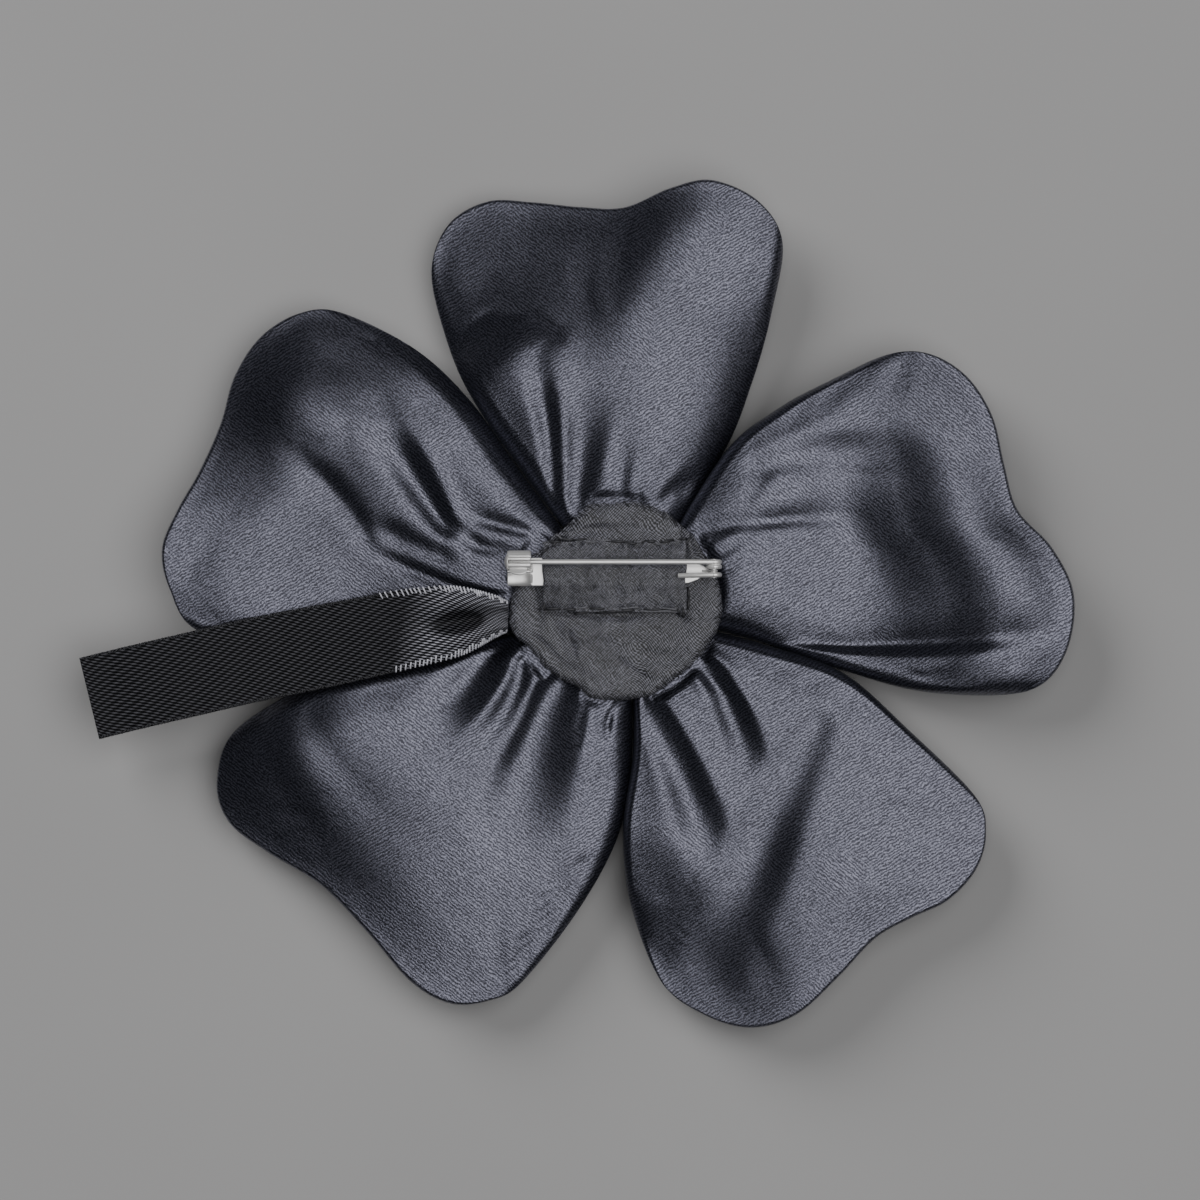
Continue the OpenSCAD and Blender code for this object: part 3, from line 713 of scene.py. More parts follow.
def fold_profile(form, reach, on_left):
    """Share of a fold's depth where reach goes from 0 on its line to 1 at its foot."""
    if form == 2:
        return (1 - reach) ** 2
    dent = (1 - reach ** 2) ** 2
    if form == 0:
        return dent
    steep = 1 - (1 - np.clip(reach / PLEAT_STEEP, 0, 1)) ** 1.8
    drop = np.minimum(steep, ease((1 - reach) / (1 - PLEAT_STEEP))) - PLEAT_CREST * (1 - reach) ** 3
    return mix(-PLEAT_CREST * dent, drop, on_left if form > 0 else 1 - on_left)


def fold_depth(points, rows):
    """Depth of all the folds together at each point of the plan."""
    ridges = np.zeros(points.shape[:-1])
    dents = np.zeros(points.shape[:-1])
    for row in rows:
        left, right, start, end, form = row[6:]
        near, place, on_left = beside_fold(points, bend(row[0:2], row[2:4], row[4:6], FOLD_STEPS))
        near = np.hypot(near, FOLD_SOFT) - FOLD_SOFT
        reach = np.clip(near / (mix(right, left, on_left) * mix(FOLD_NARROW, 1, place)), 0, 1)
        depth = mix(start, end, ease(place)) * ease((1 - place) / FOLD_FADE)
        depth = depth * fold_profile(form, reach, on_left)
        ridges += np.minimum(depth, 0)
        dents += np.maximum(depth, 0) ** 3
    return dents ** (1 / 3) + ridges


def soften(field):
    """The same grid of depths with its sharp turns rounded off."""
    for _ in range(SOFT_ROUNDS):
        wide = np.pad(field, 1, "edge")
        field = (2 * field + wide[:-2, 1:-1] + wide[2:, 1:-1] + wide[1:-1, :-2] + wide[1:-1, 2:]) / 6
    return field


def field_at(field, u, v):
    """Height on the smooth surface through a table at u across and v along."""
    table = np.transpose(field)
    columns = row_at(table, u, 2 * table[0] - table[1], 2 * table[-1] - table[-2])
    last = columns.shape[-1] - 1
    place = v * last
    k = np.minimum(place.astype(int), last - 1)
    near = (np.take_along_axis(columns, np.clip(k + step, 0, last)[..., None], -1)[..., 0]
            for step in (-1, 0, 1, 2))
    return curve(*near, place - k)


def relief_at(petal, u, v):
    """Height of the upper cloth, which is level along the gathers."""
    return field_at([[GATHER_HIGH] * len(petal.relief[0]), *petal.relief], u, v)


def seam_height(petal, side, across, u, v):
    """Height of the seam, and inside the petal of the level that goes on from it."""
    at_rim = relief_at(petal, u, np.ones_like(v)) - RIM_HALF - RIM_CROWN
    level = mix((GATHER_HIGH + GATHER_LOW) / 2, at_rim, ease(v))
    seam = mix(side[..., 4], level - PETAL_SAG * np.sin(math.pi * v), across)
    return np.minimum(seam, relief_at(petal, u, v) - RIM_HALF)


def ripples(u, v, seed):
    """Small ripples next to the gathers."""
    strength = RIPPLE_DEPTH * ease(v / RIPPLE_START) * (1 - ease((v - RIPPLE_START) / RIPPLE_END))
    return strength * np.sin(2 * math.pi * (RIPPLES * u + 0.5 * np.sin(9 * u + seed)))


def petal_surfaces(petal, u, v, settled=None):
    """Plan, top height and underside height of a petal, with the moves that its cloth settled into."""
    p = petal_plan(petal, u, v)
    side = row_at(petal.sides, v)
    reach = petal_plan(petal, u, np.ones_like(v)) - petal_plan(petal, u, np.zeros_like(v))
    width = np.linalg.norm(side[..., :2] - side[..., 2:4], axis=-1)
    from_side = width * np.minimum(u, 1 - u)
    from_rim = np.linalg.norm(reach, axis=-1) * (1 - v)
    across = np.sqrt(np.maximum(0, 1 - np.abs(2 * u - 1) ** FULLNESS))
    seam = seam_height(petal, side, across, u, v)
    half = mix(GATHER_HALF, RIM_HALF, ease(v / 0.5))
    drop = half + row_at(HANG, v)[..., 0] * across
    low_edge = round_edge(from_side / half) * round_edge(from_rim / half)
    low = np.maximum(seam - drop * low_edge, THIN)
    # The edge is round, with the seam along its middle
    edge = round_edge(width * u / petal.shoulders[0]) * round_edge(width * (1 - u) / petal.shoulders[1])
    edge = edge * round_edge(from_rim / RIM_SHOULDER)
    inside = ease(v / FOLDS_START) * ease(from_rim / FOLDS_END) * np.minimum(1, across * 1.5)
    waves = [(depth, size, petal.seed + 50 * k) for k, (depth, size) in enumerate(SATIN_WAVES)]
    full = relief_at(petal, u, v) + ripples(u, v, petal.seed) * across
    full = full + (uneven(p[..., 0], p[..., 1], *waves) - soften(fold_depth(p, petal.folds))) * inside
    high = np.maximum(seam + (full - seam) * edge, low + THINNEST * edge)
    if settled is not None:
        away = ease(from_rim / SETTLE_FROM_RIM) * ease(from_side / SETTLE_FROM_SIDE) * ease(v / FOLDS_START)
        high = high + field_at(np.transpose(settled), u, v) * away
    held = GATHER_HIGH + HELD_SLOPE * np.maximum(0, np.linalg.norm(p, axis=-1) - BACKING_HALF)
    return p, np.minimum(np.maximum(high, low + THIN), held), low


def settle(petal):
    """How far the filled upper cloth moves up or down in a cloth simulation, on an even grid."""
    u, v = grid(*(np.linspace(0, 1, steps + 1) for steps in CLOTH_STEPS))
    p, high, low = petal_surfaces(petal, u, v)
    upper = raised(p, np.maximum(high, low + CLOTH_THIN), 0)
    size = len(upper)
    mesh = bpy.data.meshes.new("cloth")
    points = np.concatenate([upper, raised(p, low, 0)]) * CLOTH_SCALE
    mesh.from_pydata(points.tolist(), [], [face[::-1] for face in pad_faces(size, CLOTH_STEPS)])
    piece = add_object("cloth", mesh)
    held = piece.vertex_groups.new(name="held")
    on_edge = np.flatnonzero((u == 0) | (u == 1) | (v == 0) | (v == 1)).tolist()
    held.add(on_edge + list(range(size, 2 * size)), 1.0, "REPLACE")
    cloth = piece.modifiers.new("cloth", "CLOTH")
    for key, value in CLOTH_SETTINGS.items():
        setattr(cloth.settings, key, value)
    cloth.settings.vertex_group_mass = held.name
    cloth.settings.effector_weights.gravity = 0
    cloth.collision_settings.use_collision = False
    cloth.point_cache.frame_end = CLOTH_FRAMES
    for number in range(1, CLOTH_FRAMES + 1):
        bpy.context.scene.frame_set(number)
    done = piece.evaluated_get(bpy.context.evaluated_depsgraph_get()).to_mesh()
    heights = np.array([point.co.z for point in done.vertices[:size]]) / CLOTH_SCALE
    moves = (heights - upper[:, 2]).reshape(u.shape)
    bpy.data.objects.remove(piece)
    bpy.context.scene.frame_set(1)
    return CLOTH_MOVE * np.tanh(moves / CLOTH_MOVE)


def make_petal(petal):
    across, along = PETAL_STEPS
    u = dense_ends(across) * DENSE_SIDES + np.linspace(0, 1, across + 1) * (1 - DENSE_SIDES)
    v = np.linspace(0, 1, along + 1)
    u, v = grid(u, np.sin(math.pi / 2 * v) * DENSE_RIM + v * (1 - DENSE_RIM))
    settled = settle(petal)
    p, high, low = petal_surfaces(petal, u, v, settled)
    name = petal.name + "_satin"
    piece = add_pad(name, raised(p, low), raised(p, high), PETAL_STEPS, SATIN, petal.name)


for each_petal in PETALS:
    make_petal(each_petal)


# Metal pin. Its places and radii are those of the solids
WIRE_R = 0.3
STEM_Y = 5.14
STEM_Z = 11.35
BEND_X = 14.5
# Places where the wire is rising from the coil
RISE_X = (15.7, 15.2)
TAPER_X = -5.34
TIP_X = -8.2
TIP_R = 0.12
COIL_AT = (16.14, 10.58)
COIL_R = 0.7
STEM_TURNS = (5.14, 4.58)
TAIL_TURN = 3.6
TAIL_OVER = (14.1, 3.55, 11.05)
TAIL_END = (11.94, 3.5, 10.57)
AXLE_R = 0.36
AXLE_PAST = 0.35
BAR_LOW = 8.75
BAR_TOP = 9.25
# Outlines of the bar's right part and of the ear that carries the coil
BAR_OUTLINE = [
    [-4.1, 2.6], [13.1, 2.6], [14.2, 3.0], [14.9, 3.5], [15.5, 3.85], [15.6, 4.1], [15.5, 4.35],
    [14.9, 4.7], [14.2, 4.95], [-4.1, 4.98]]
EAR_OUTLINE = [
    [14.4, 8.85], [15.6, 8.85], [16.1, 9.6], [16.55, 10.3], [16.6, 10.7], [16.3, 11.0], [15.9, 10.95],
    [15.6, 10.6], [15.2, 9.8]]
EAR_Y = (3.98, 4.2)
PLATE_X = (-8.46, -3.95)
PLATE_Y = (2.28, 5.64)
PLATE_EDGE = 0.12
PLATE_STEPS = (60, 60)
NECK_X = -5.68
CATCH_Z = 11.3
CATCH_X = (-8.46, -5.64)
HOUSING_R = 1.2
HOUSING_HALF = 0.16
# Turns from straight up towards the back, between which the housing is closed
HOUSING_FROM = 35
HOUSING_TO = 285
ROLLER_X = -8.82
ROLLER_BODY_X = -8.37
ROLLER_R = 0.98
ROLLER_BORE = 0.5
SLOT_HALF = 0.4
TAB_TURN = 62
TAB_FROM = 0.7
TAB_REACH = 1.75
TAB_X = (-8.2, -6.1)
TAB_MIDDLE = -7.13
TAB_HALF = 0.14
WIRE_SIDES = 18
# Edges that are sharper than this many degrees look sharp
SHARP_ANGLE = 50


def plate(outline, low, high, edge, steps=4):
    """Flat plate with round edges: rings of points x, y, z, and its faces."""
    outline = np.asarray(outline, float)
    way = np.roll(outline, -1, axis=0) - np.roll(outline, 1, axis=0)
    inward = np.stack([-way[:, 1], way[:, 0]], -1) / np.linalg.norm(way, axis=1)[:, None]
    turn = np.linspace(0, math.pi / 2, steps + 1)
    inset = edge * np.concatenate([1 - np.sin(turn), (1 - np.sin(turn))[::-1]])
    level = np.concatenate([low + edge * (1 - np.cos(turn)), high - edge * (1 - np.cos(turn))[::-1]])
    rings = [raised(outline + inward * i, np.full(len(outline), z), 0) for i, z in zip(inset, level)]
    return np.concatenate(rings), ring_faces(len(rings), len(outline), True)


def coil_turn(y, steps=28):
    """One turn of the coil, which stands on edge around the Y axis."""
    turn = np.linspace(0, 2 * math.pi, steps + 1)
    return np.stack([COIL_AT[0] + COIL_R * np.sin(turn), np.full(steps + 1, y),
                     COIL_AT[1] + COIL_R * np.cos(turn)], -1)


def catch_ring(x, radius, turn):
    """Points around the axis of the catch, turned from straight up towards the back."""
    return np.stack([np.full(len(turn), x), STEM_Y + radius * np.sin(turn),
                     CATCH_Z + radius * np.cos(turn)], -1)


def make_stem():
    shells = Shells()
    for y in STEM_TURNS:
        shells.add_tube(coil_turn(y), WIRE_R, WIRE_SIDES)
    x = np.concatenate([[COIL_AT[0], *RISE_X, BEND_X], np.linspace(BEND_X - 0.4, TAPER_X, 12),
                        np.linspace(TAPER_X - 0.4, TIP_X, 6)])
    start = COIL_AT[1] + COIL_R
    height = start + (STEM_Z - start) * ease((COIL_AT[0] - x) / (COIL_AT[0] - BEND_X))
    radius = mix(WIRE_R, TIP_R, np.clip((TAPER_X - x) / (TAPER_X - TIP_X), 0, 1))
    shells.add_tube(np.stack([x, np.full(len(x), STEM_Y), height], -1), radius, WIRE_SIDES)
    shells.metal_piece("stem_metal", "stem", "pin_stem")


def make_tail():
    shells = Shells()
    shells.add_tube(coil_turn(TAIL_TURN), WIRE_R, WIRE_SIDES)
    start = (COIL_AT[0], TAIL_TURN, COIL_AT[1] + COIL_R)
    shells.add_tube(bend(start, TAIL_OVER, TAIL_END, 12), WIRE_R, WIRE_SIDES)
    shells.metal_piece("tail_metal", "root", "spring_tail")


def bent_wall(start, end, middle_r, half, x, edge, steps=60):
    """Wall bent around the axis of the catch, with round lips: its points and faces."""
    lip = half / middle_r
    along = np.linspace(math.radians(start), math.radians(end), steps)
    round_lip = np.linspace(0, math.pi, 8)[1:-1]
    turn = np.concatenate([along, along[-1] + lip * np.sin(round_lip), along[::-1],
                           along[0] - lip * np.sin(round_lip)])
    across = np.concatenate([np.ones(steps), np.cos(round_lip), -np.ones(steps), -np.cos(round_lip)])
    from_end = edge * (1 - np.cos(np.linspace(0, math.pi / 2, 6)))
    rings = []
    for place in [*(x[0] + from_end), *(x[1] - from_end)[::-1]]:
        share = round_edge(min(place - x[0], x[1] - place) / edge)
        rings.append(catch_ring(place, middle_r + half * across * share, turn))
    return np.concatenate(rings), ring_faces(len(rings), len(turn))


def catch_plate():
    """Left end of the bar: flat, with a saddle in front of the catch and the neck that carries the catch."""
    x, y = grid(mix(*PLATE_X, dense_ends(PLATE_STEPS[0])), mix(*PLATE_Y, dense_ends(PLATE_STEPS[1])))
    inset = np.min([x - PLATE_X[0], PLATE_X[1] - x, y - PLATE_Y[0], PLATE_Y[1] - y], axis=0)
    under = 1 - ease((x - NECK_X) / 0.25)
    middle = (x - (PLATE_X[0] + NECK_X) / 2) / (NECK_X - PLATE_X[0]) * 2
    front = round_edge((y - PLATE_Y[0]) / 0.9)
    saddle = (0.22 * np.abs(middle) ** 3 - 0.4 * (1 - front)) * (1 - ease((y - 3.4) / 0.5)) * under
    neck = 0.95 * ease((y - 3.75) / 0.6) * (1 - ease((y - 5.0) / 0.4)) * under
    corner = PLATE_EDGE * (1 - round_edge(inset / PLATE_EDGE))
    high = BAR_TOP + saddle + neck - corner
    low = BAR_LOW + corner
    plan = np.stack([x, y], -1)
    points = np.concatenate([raised(plan, np.maximum(high, low + THIN), 0), raised(plan, low, 0)])
    return points, pad_faces(x.size, PLATE_STEPS)


def make_bar():
    shells = Shells()
    shells.add(*catch_plate())
    shells.add(*plate(BAR_OUTLINE, BAR_LOW, BAR_TOP, 0.1))
    points, faces = plate(EAR_OUTLINE, -EAR_Y[1], -EAR_Y[0], 0.04)
    shells.add(points[:, [0, 2, 1]] * [1, -1, 1], faces)
    shells.add(*bent_wall(HOUSING_FROM, HOUSING_TO, HOUSING_R, HOUSING_HALF, CATCH_X, 0.3))
    axle = np.linspace(TAIL_TURN - AXLE_PAST, STEM_Y + AXLE_PAST, 5)
    shells.add_tube([(COIL_AT[0], y, COIL_AT[1]) for y in axle], AXLE_R, WIRE_SIDES)
    shells.metal_piece("bar_metal", "root", "pin_bar")


def roller_dome(around=40):
    """Closed left end of the roller."""
    depth = ROLLER_BODY_X - ROLLER_X
    profile = [*bend((0.0, 0.0), (0.25, 0.86), (depth, ROLLER_R), 10), (depth + 0.02, 0.0)]
    turn = np.arange(around) * 2 * math.pi / around
    rings = [catch_ring(ROLLER_X + x, r, turn) for x, r in profile]
    return np.concatenate(rings), ring_faces(len(rings), around)


def roller_tab():
    """Half-moon tab that leans towards the front."""
    x = np.linspace(TAB_X[1], TAB_X[0], 17)
    arc = np.sqrt(TAB_REACH ** 2 - (x - TAB_MIDDLE) ** 2)
    outline = [[TAB_X[0], TAB_FROM], [TAB_X[1], TAB_FROM], *np.stack([x, arc], -1)]
    points, faces = plate(outline, -TAB_HALF, TAB_HALF, 0.1)
    lean = math.radians(TAB_TURN)
    x, out, across = points.T
    return np.stack([x, STEM_Y - out * math.sin(lean) + across * math.cos(lean),
                     CATCH_Z + out * math.cos(lean) + across * math.sin(lean)], -1), faces


def make_roller():
    shells = Shells()
    shells.add(*roller_dome())
    slot = math.degrees(math.asin(SLOT_HALF / ROLLER_R)) + 6
    middle = (ROLLER_R + ROLLER_BORE) / 2
    shells.add(*bent_wall(slot, 360 - slot, middle, (ROLLER_R - ROLLER_BORE) / 2,
                          (ROLLER_BODY_X - 0.1, CATCH_X[1]), 0.2))
    shells.add(*roller_tab())
    shells.metal_piece("roller_metal", "roller", "catch_roller")


make_bar()
make_tail()
make_stem()
make_roller()


# Backing. Its outline is a closed ring of points from the flower's middle
DISC_OUTLINE = [
    [12.6, 0.5], [11.8, 3.5], [10.3, 6.0], [9.1, 7.8], [7.6, 9.2], [6.4, 10.2], [5.4, 10.8], [3.5, 11.5],
    [1.5, 11.8], [-0.4, 11.6], [-2.9, 11.6], [-4.0, 10.8], [-5.0, 9.9], [-6.5, 8.5], [-8.0, 7.3],
    [-8.9, 6.2], [-10.6, 4.9], [-11.5, 3.1], [-12.1, 1.3], [-12.6, -0.4], [-12.7, -2.8], [-11.7, -4.4],
    [-10.0, -6.0], [-8.6, -7.7], [-7.0, -9.1], [-5.4, -9.9], [-4.2, -10.6], [-3.1, -11.6], [-1.3, -11.8],
    [0.8, -11.9], [2.9, -11.6], [4.8, -11.0], [6.4, -9.8], [8.0, -8.6], [9.4, -7.3], [10.6, -5.9],
    [12.1, -3.6], [12.6, -1.7]]
DISC_FOLDS = [
    [-5.6, -3.8, -5.2, -5.6, -4.7, -7.4, 0.7, 0.5, 0.7, 0.6, 2],
    [-7.6, -2.0, -6.3, -5.5, -4.4, -9.4, 1.8, 1.4, 0.2, 0.35, 0],
    [0.6, -7.4, 3.0, -9.3, 6.4, -10.8, 1.2, 1.8, 0.25, 0.45, 0],
    [-9.4, -1.3, -0.5, -1.7, 9.0, -1.5, 0.7, 1.2, 0.4, 0.4, 2],
    [-4.4, -4.2, 0.0, -3.4, 7.5, -4.4, 2.6, 2.6, -0.25, -0.3, 0],
    [7.0, -1.0, 7.9, -1.8, 8.8, -3.0, 0.8, 0.8, 0.45, 0.4, 2],
    [8.0, 8.0, 8.2, 6.6, 8.8, 4.6, 0.6, 0.8, 0.45, 0.4, 2],
    [9.2, 7.6, 9.5, 6.3, 10.0, 4.6, 0.8, 0.6, 0.35, 0.35, 2],
    [-8.0, 6.0, -6.6, 7.3, -4.6, 7.4, 0.9, 0.8, 0.55, 0.6, 2],
    [-6.0, 9.2, -5.0, 8.8, -3.4, 8.9, 0.8, 0.8, 0.4, 0.4, 0],
    [-4.8, 8.0, -1.5, 8.5, 5.0, 7.9, 1.1, 1.3, 0.35, 0.35, 0],
    [-9.8, 1.2, -9.6, -1.6, -8.7, -4.4, 1.4, 1.2, 0.2, 0.25, 0],
    [3.4, -6.4, 6.2, -6.9, 9.0, -6.4, 1.6, 1.6, 0.2, 0.25, 0],
    [-9.6, -4.6, -7.0, -7.0, -3.6, -9.8, 1.4, 1.2, 0.25, 0.3, 0]]
DISC_LOW = 7.4
DISC_HIGH = 8.65
DISC_HALF = (DISC_HIGH - DISC_LOW) / 2
DISC_SHOULDER = 1.3
DISC_TURNS = 240
DISC_RINGS = 60
# Depth, size and seed of the waves of its cloth and of its frayed edge
DISC_WAVES = ((0.06, 3.2, 21), (0.025, 1.3, 22))
FRAY = (0.07, 1.8, 23)


def disc_rim(turn):
    ring = DISC_OUTLINE[-1:] + DISC_OUTLINE + DISC_OUTLINE[:2]
    return row_at(ring, (1 + turn * len(DISC_OUTLINE)) / (len(ring) - 1))


def make_disc():
    rim = disc_rim(np.arange(DISC_TURNS) / DISC_TURNS)
    rim = rim * (1 + uneven(rim[:, 0], rim[:, 1], FRAY) / np.linalg.norm(rim, axis=1))[:, None]
    reach = np.sin(math.pi / 2 * np.arange(DISC_RINGS + 1) / DISC_RINGS)
    plan = reach[:, None, None] * rim
    from_edge = (1 - reach)[:, None] * np.linalg.norm(rim, axis=1)
    shoulder = DISC_HALF * (1 - round_edge(from_edge / DISC_SHOULDER))
    high = DISC_HIGH + uneven(plan[..., 0], plan[..., 1], *DISC_WAVES)
    high = high - fold_depth(plan, DISC_FOLDS) - shoulder
    high[0] = DISC_HIGH
    points = np.concatenate([raised(plan, high), raised(plan[::-1], (DISC_LOW + shoulder)[::-1])])
    faces = ring_faces(2 * DISC_RINGS + 2, DISC_TURNS)
    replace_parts(add_piece("backing_cloth", points, faces, LINING), "back_disc")


make_disc()


# Strip of the same cloth that is laid over the bar of the pin and sewn down along both long edges
STRIP_X = -4.3
STRIP_LENGTH = 17.2
STRIP_Y = 3.42
STRIP_HALF = 4.25
STRIP_STEPS = (190, 110)
# Height of the strip along its middle and along its long edges, and where it starts to fall
STRIP_HIGH = 9.95
STRIP_EDGE = 9.22
STRIP_FLAT = 1.0
# Lowest level of its underside, and its thickness at the edge and in the middle
STRIP_LOWEST = 8.72
STRIP_THICK = (0.18, 0.4)
STRIP_ROUND = 0.35
STRIP_WAVES = ((0.035, 2.6, 33), (0.012, 1.0, 34))
# Waves of its long edges and of its ends
STRIP_FRAY = ((0.1, 3.4, 31), (0.1, 2.6, 32))
# Puckers along its seams: their distance from the long middle line, their width, and the length of one
PUCKERS_AT = 3.85
PUCKER_WIDTH = 0.4
PUCKER = 1.9


def strip_level(away):
    """Height of the strip at a distance from its long middle line."""
    fall = np.clip((away - STRIP_FLAT) / (STRIP_HALF - STRIP_FLAT), 0, 1)
    return mix(STRIP_HIGH, STRIP_EDGE, fall * (1.3 - 0.3 * fall))


def strip_surfaces(s, t):
    """Plan and both heights of the strip, s from 0 to 1 along it and t from -1 to 1 across it."""
    x = STRIP_X + STRIP_LENGTH * s
    y = STRIP_Y + (STRIP_HALF + np.abs(t) ** 6 * uneven(x + 20 * t, 5 * t, STRIP_FRAY[0]) - 0.05) * t
    x = x + uneven(y, 30 * s, STRIP_FRAY[1]) * np.abs(2 * s - 1) ** 8
    away = np.abs(y - STRIP_Y)
    depth = 0.12 + 0.1 * np.sin(2 * math.pi * (x / PUCKER + 0.4 * np.sin(x)))
    puckers = hump(away, depth, PUCKERS_AT, PUCKER_WIDTH)
    ends = round_edge(STRIP_LENGTH * np.minimum(s, 1 - s) / STRIP_ROUND)
    sides = round_edge(STRIP_HALF * (1 - np.abs(t)) / STRIP_ROUND)
    high = strip_level(away) + uneven(x, y, *STRIP_WAVES) - puckers - 0.12 * (1 - ends)
    return np.stack([x, y], -1), high, np.maximum(high - mix(*STRIP_THICK, ends * sides), STRIP_LOWEST)


def make_strip():
    s = dense_ends(STRIP_STEPS[0]) * 0.5 + 0.5 * np.linspace(0, 1, STRIP_STEPS[0] + 1)
    t = np.sin(math.pi / 2 * np.linspace(-1, 1, STRIP_STEPS[1] + 1))
    plan, high, low = strip_surfaces(*grid(s, t))
    add_pad("strip_cloth", raised(plan, high, 0), raised(plan, low, 0), STRIP_STEPS, FINE_LINING,
            "pin_strip")


make_strip()


# Hand stitches, from the flower's middle: from x, y, to x, y, and 1 for a thread that catches the light,
# whose highlight is painted as a lighter thread colour
STRIP_STITCHES = [
    [-8.9, -0.6, -8.4, -1.0, 0], [-8.5, -0.9, -6.6, -1.0, 0], [-6.4, -1.1, -4.8, -0.95, 0],
    [-4.8, -1.0, -3.4, -0.7, 1], [-5.0, -1.6, -3.4, -1.3, 0], [-3.1, -0.9, -1.4, -0.9, 0],
    [-2.4, -1.4, 0.2, -1.3, 0], [-0.2, -1.3, 2.3, -1.1, 0], [0.6, -0.9, 2.8, -0.8, 1],
    [2.8, -1.2, 7.4, -1.3, 1], [3.4, -1.0, 5.6, -1.15, 0], [5.5, -0.9, 7.4, -1.0, 1],
    [7.3, -1.0, 7.9, -1.7, 0], [7.6, -1.8, 8.2, -1.2, 1], [8.0, -0.9, 8.1, -2.0, 0],
    [-8.6, -0.2, -8.5, -1.1, 0], [-5.1, 7.3, -3.6, 7.35, 0], [-3.7, 7.0, -2.3, 7.05, 1],
    [-2.1, 7.25, -0.6, 7.15, 1], [-0.7, 7.2, 1.1, 7.0, 0], [1.0, 6.95, 2.4, 6.85, 0],
    [2.5, 7.0, 3.5, 7.2, 1], [3.6, 7.2, 4.7, 7.0, 0], [4.6, 6.95, 5.2, 6.75, 1], [5.3, 7.0, 6.9, 7.25, 0],
    [6.9, 7.3, 7.9, 7.0, 1], [7.7, 7.3, 8.4, 7.5, 0], [8.3, 6.9, 9.0, 7.6, 0], [-6.9, 7.4, -5.0, 7.3, 0],
    [-7.6, 6.5, -6.9, 7.5, 0], [-7.9, 7.1, -6.6, 7.0, 0], [-7.2, 7.9, -6.2, 7.3, 1],
    [-8.9, 5.6, -8.1, 6.4, 0], [8.7, 0.2, 8.6, 1.6, 0], [8.6, -1.0, 8.7, 0.4, 0]]
STITCH_R = 0.15
STITCH_ARCH = 0.05
# How far a stitch lies above the backing or is pressed into the strip, and how far its ends sink in
STITCH_LIFT = 0.06
STITCH_SINK = 0.12
# Stitches around the backing, the share of them that catches the light, whose highlight is painted as a
# lighter thread colour, and their least and greatest radius
EDGE_STITCHES = 74
PAINTED_SHINE_SHARE = 0.16
EDGE_STITCH_R = (0.06, 0.1)


def cloth_height(x, y):
    """Height of the cloth under a stitch, from the flower's middle."""
    away = abs(y + FLOWER_AT[1] - STRIP_Y)
    on_strip = STRIP_X - 0.1 < x + FLOWER_AT[0] < STRIP_X + STRIP_LENGTH + 0.1 and away < STRIP_HALF
    return float(strip_level(away)) - STITCH_LIFT if on_strip else DISC_HIGH + STITCH_LIFT


def stitch_path(a, b, lift, steps=7):
    t = np.linspace(0, 1, steps)
    plan = a + (b - a) * t[:, None]
    plan[:, 1] += 0.05 * np.sin(2 * math.pi * t) * math.copysign(1, math.sin(40 * a[0]))
    level = np.array([cloth_height(*p) for p in plan])
    level = np.maximum(level, np.minimum(level[0], level[-1]))
    return raised(plan, level + lift * np.sin(math.pi * t) - STITCH_SINK * (1 - np.sin(math.pi * t)) ** 3)


def make_strip_stitches():
    dark, light = Shells(), Shells()
    for row in STRIP_STITCHES:
        a, b, painted_shine = np.array(row[:2], float), np.array(row[2:4], float), row[4]
        path = stitch_path(a, b, STITCH_R + STITCH_ARCH)
        radius = STITCH_R * (1 + 0.2 * np.sin(3 * path[:, 0] + 5 * path[:, 1]))
        # Stitches that catch the light get the lighter thread, a painted highlight
        (light if painted_shine else dark).add_tube(path, radius * (0.75 if painted_shine else 1.0))
    dark.thread_piece("strip_stitches_dark", THREAD)
    light.thread_piece("strip_stitches_painted_shine", SHINE_PAINTED_THREAD)


def make_edge_stitches():
    """Small slanting stitches that hold the backing down all around."""
    rng = np.random.default_rng(41)
    dark, light = Shells(), Shells()
    for k in range(EDGE_STITCHES):
        turn = (k + rng.uniform(-0.3, 0.3)) / EDGE_STITCHES
        rim = disc_rim(np.array(turn % 1.0))
        outward = rim / np.linalg.norm(rim)
        slant = np.array([-outward[1], outward[0]]) * rng.uniform(0.1, 0.9)
        inner = rim - outward * rng.uniform(0.3, 0.7) - slant / 2
        outer = rim + outward * rng.uniform(0.0, 0.12) + slant / 2
        plan = inner + (outer - inner) * np.linspace(0, 1, 6)[:, None]
        from_edge = (rim - plan) @ outward
        level = DISC_HIGH + 0.07 - 0.62 * (1 - round_edge(np.clip(from_edge / DISC_SHOULDER, 0, 1)))
        # Stitches that catch the light get the lighter thread, a painted highlight
        threads = light if rng.random() < PAINTED_SHINE_SHARE else dark
        threads.add_tube(raised(plan, level), rng.uniform(*EDGE_STITCH_R))
    dark.thread_piece("edge_stitches_dark", THREAD)
    light.thread_piece("edge_stitches_painted_shine", SHINE_PAINTED_THREAD)


make_strip_stitches()
make_edge_stitches()


# Ribbon, from the flower's middle: x, y, half width, and the height from which RIBBON_RISE leads to its top
RIBBON_ROWS = [
    [-12.9, -1.9, 1.75, 7.6], [-15.4, -1.9, 2.9, 8.2], [-19.3, -2.4, 4.2, 8.4], [-25.8, -3.5, 4.7, 8.2],
    [-32.0, -4.8, 4.9, 7.8], [-38.0, -6.0, 5.0, 7.4], [-44.0, -7.2, 5.0, 7.1], [-50.0, -8.6, 5.0, 6.9],
    [-56.5, -10.1, 5.0, 6.7], [-63.06, -11.7, 5.0, 6.3]]
RIBBON_THICK = 0.35
RIBBON_RISE = 0.62
# Lowest and highest level of its top
RIBBON_LEVELS = (7.2, 9.9)
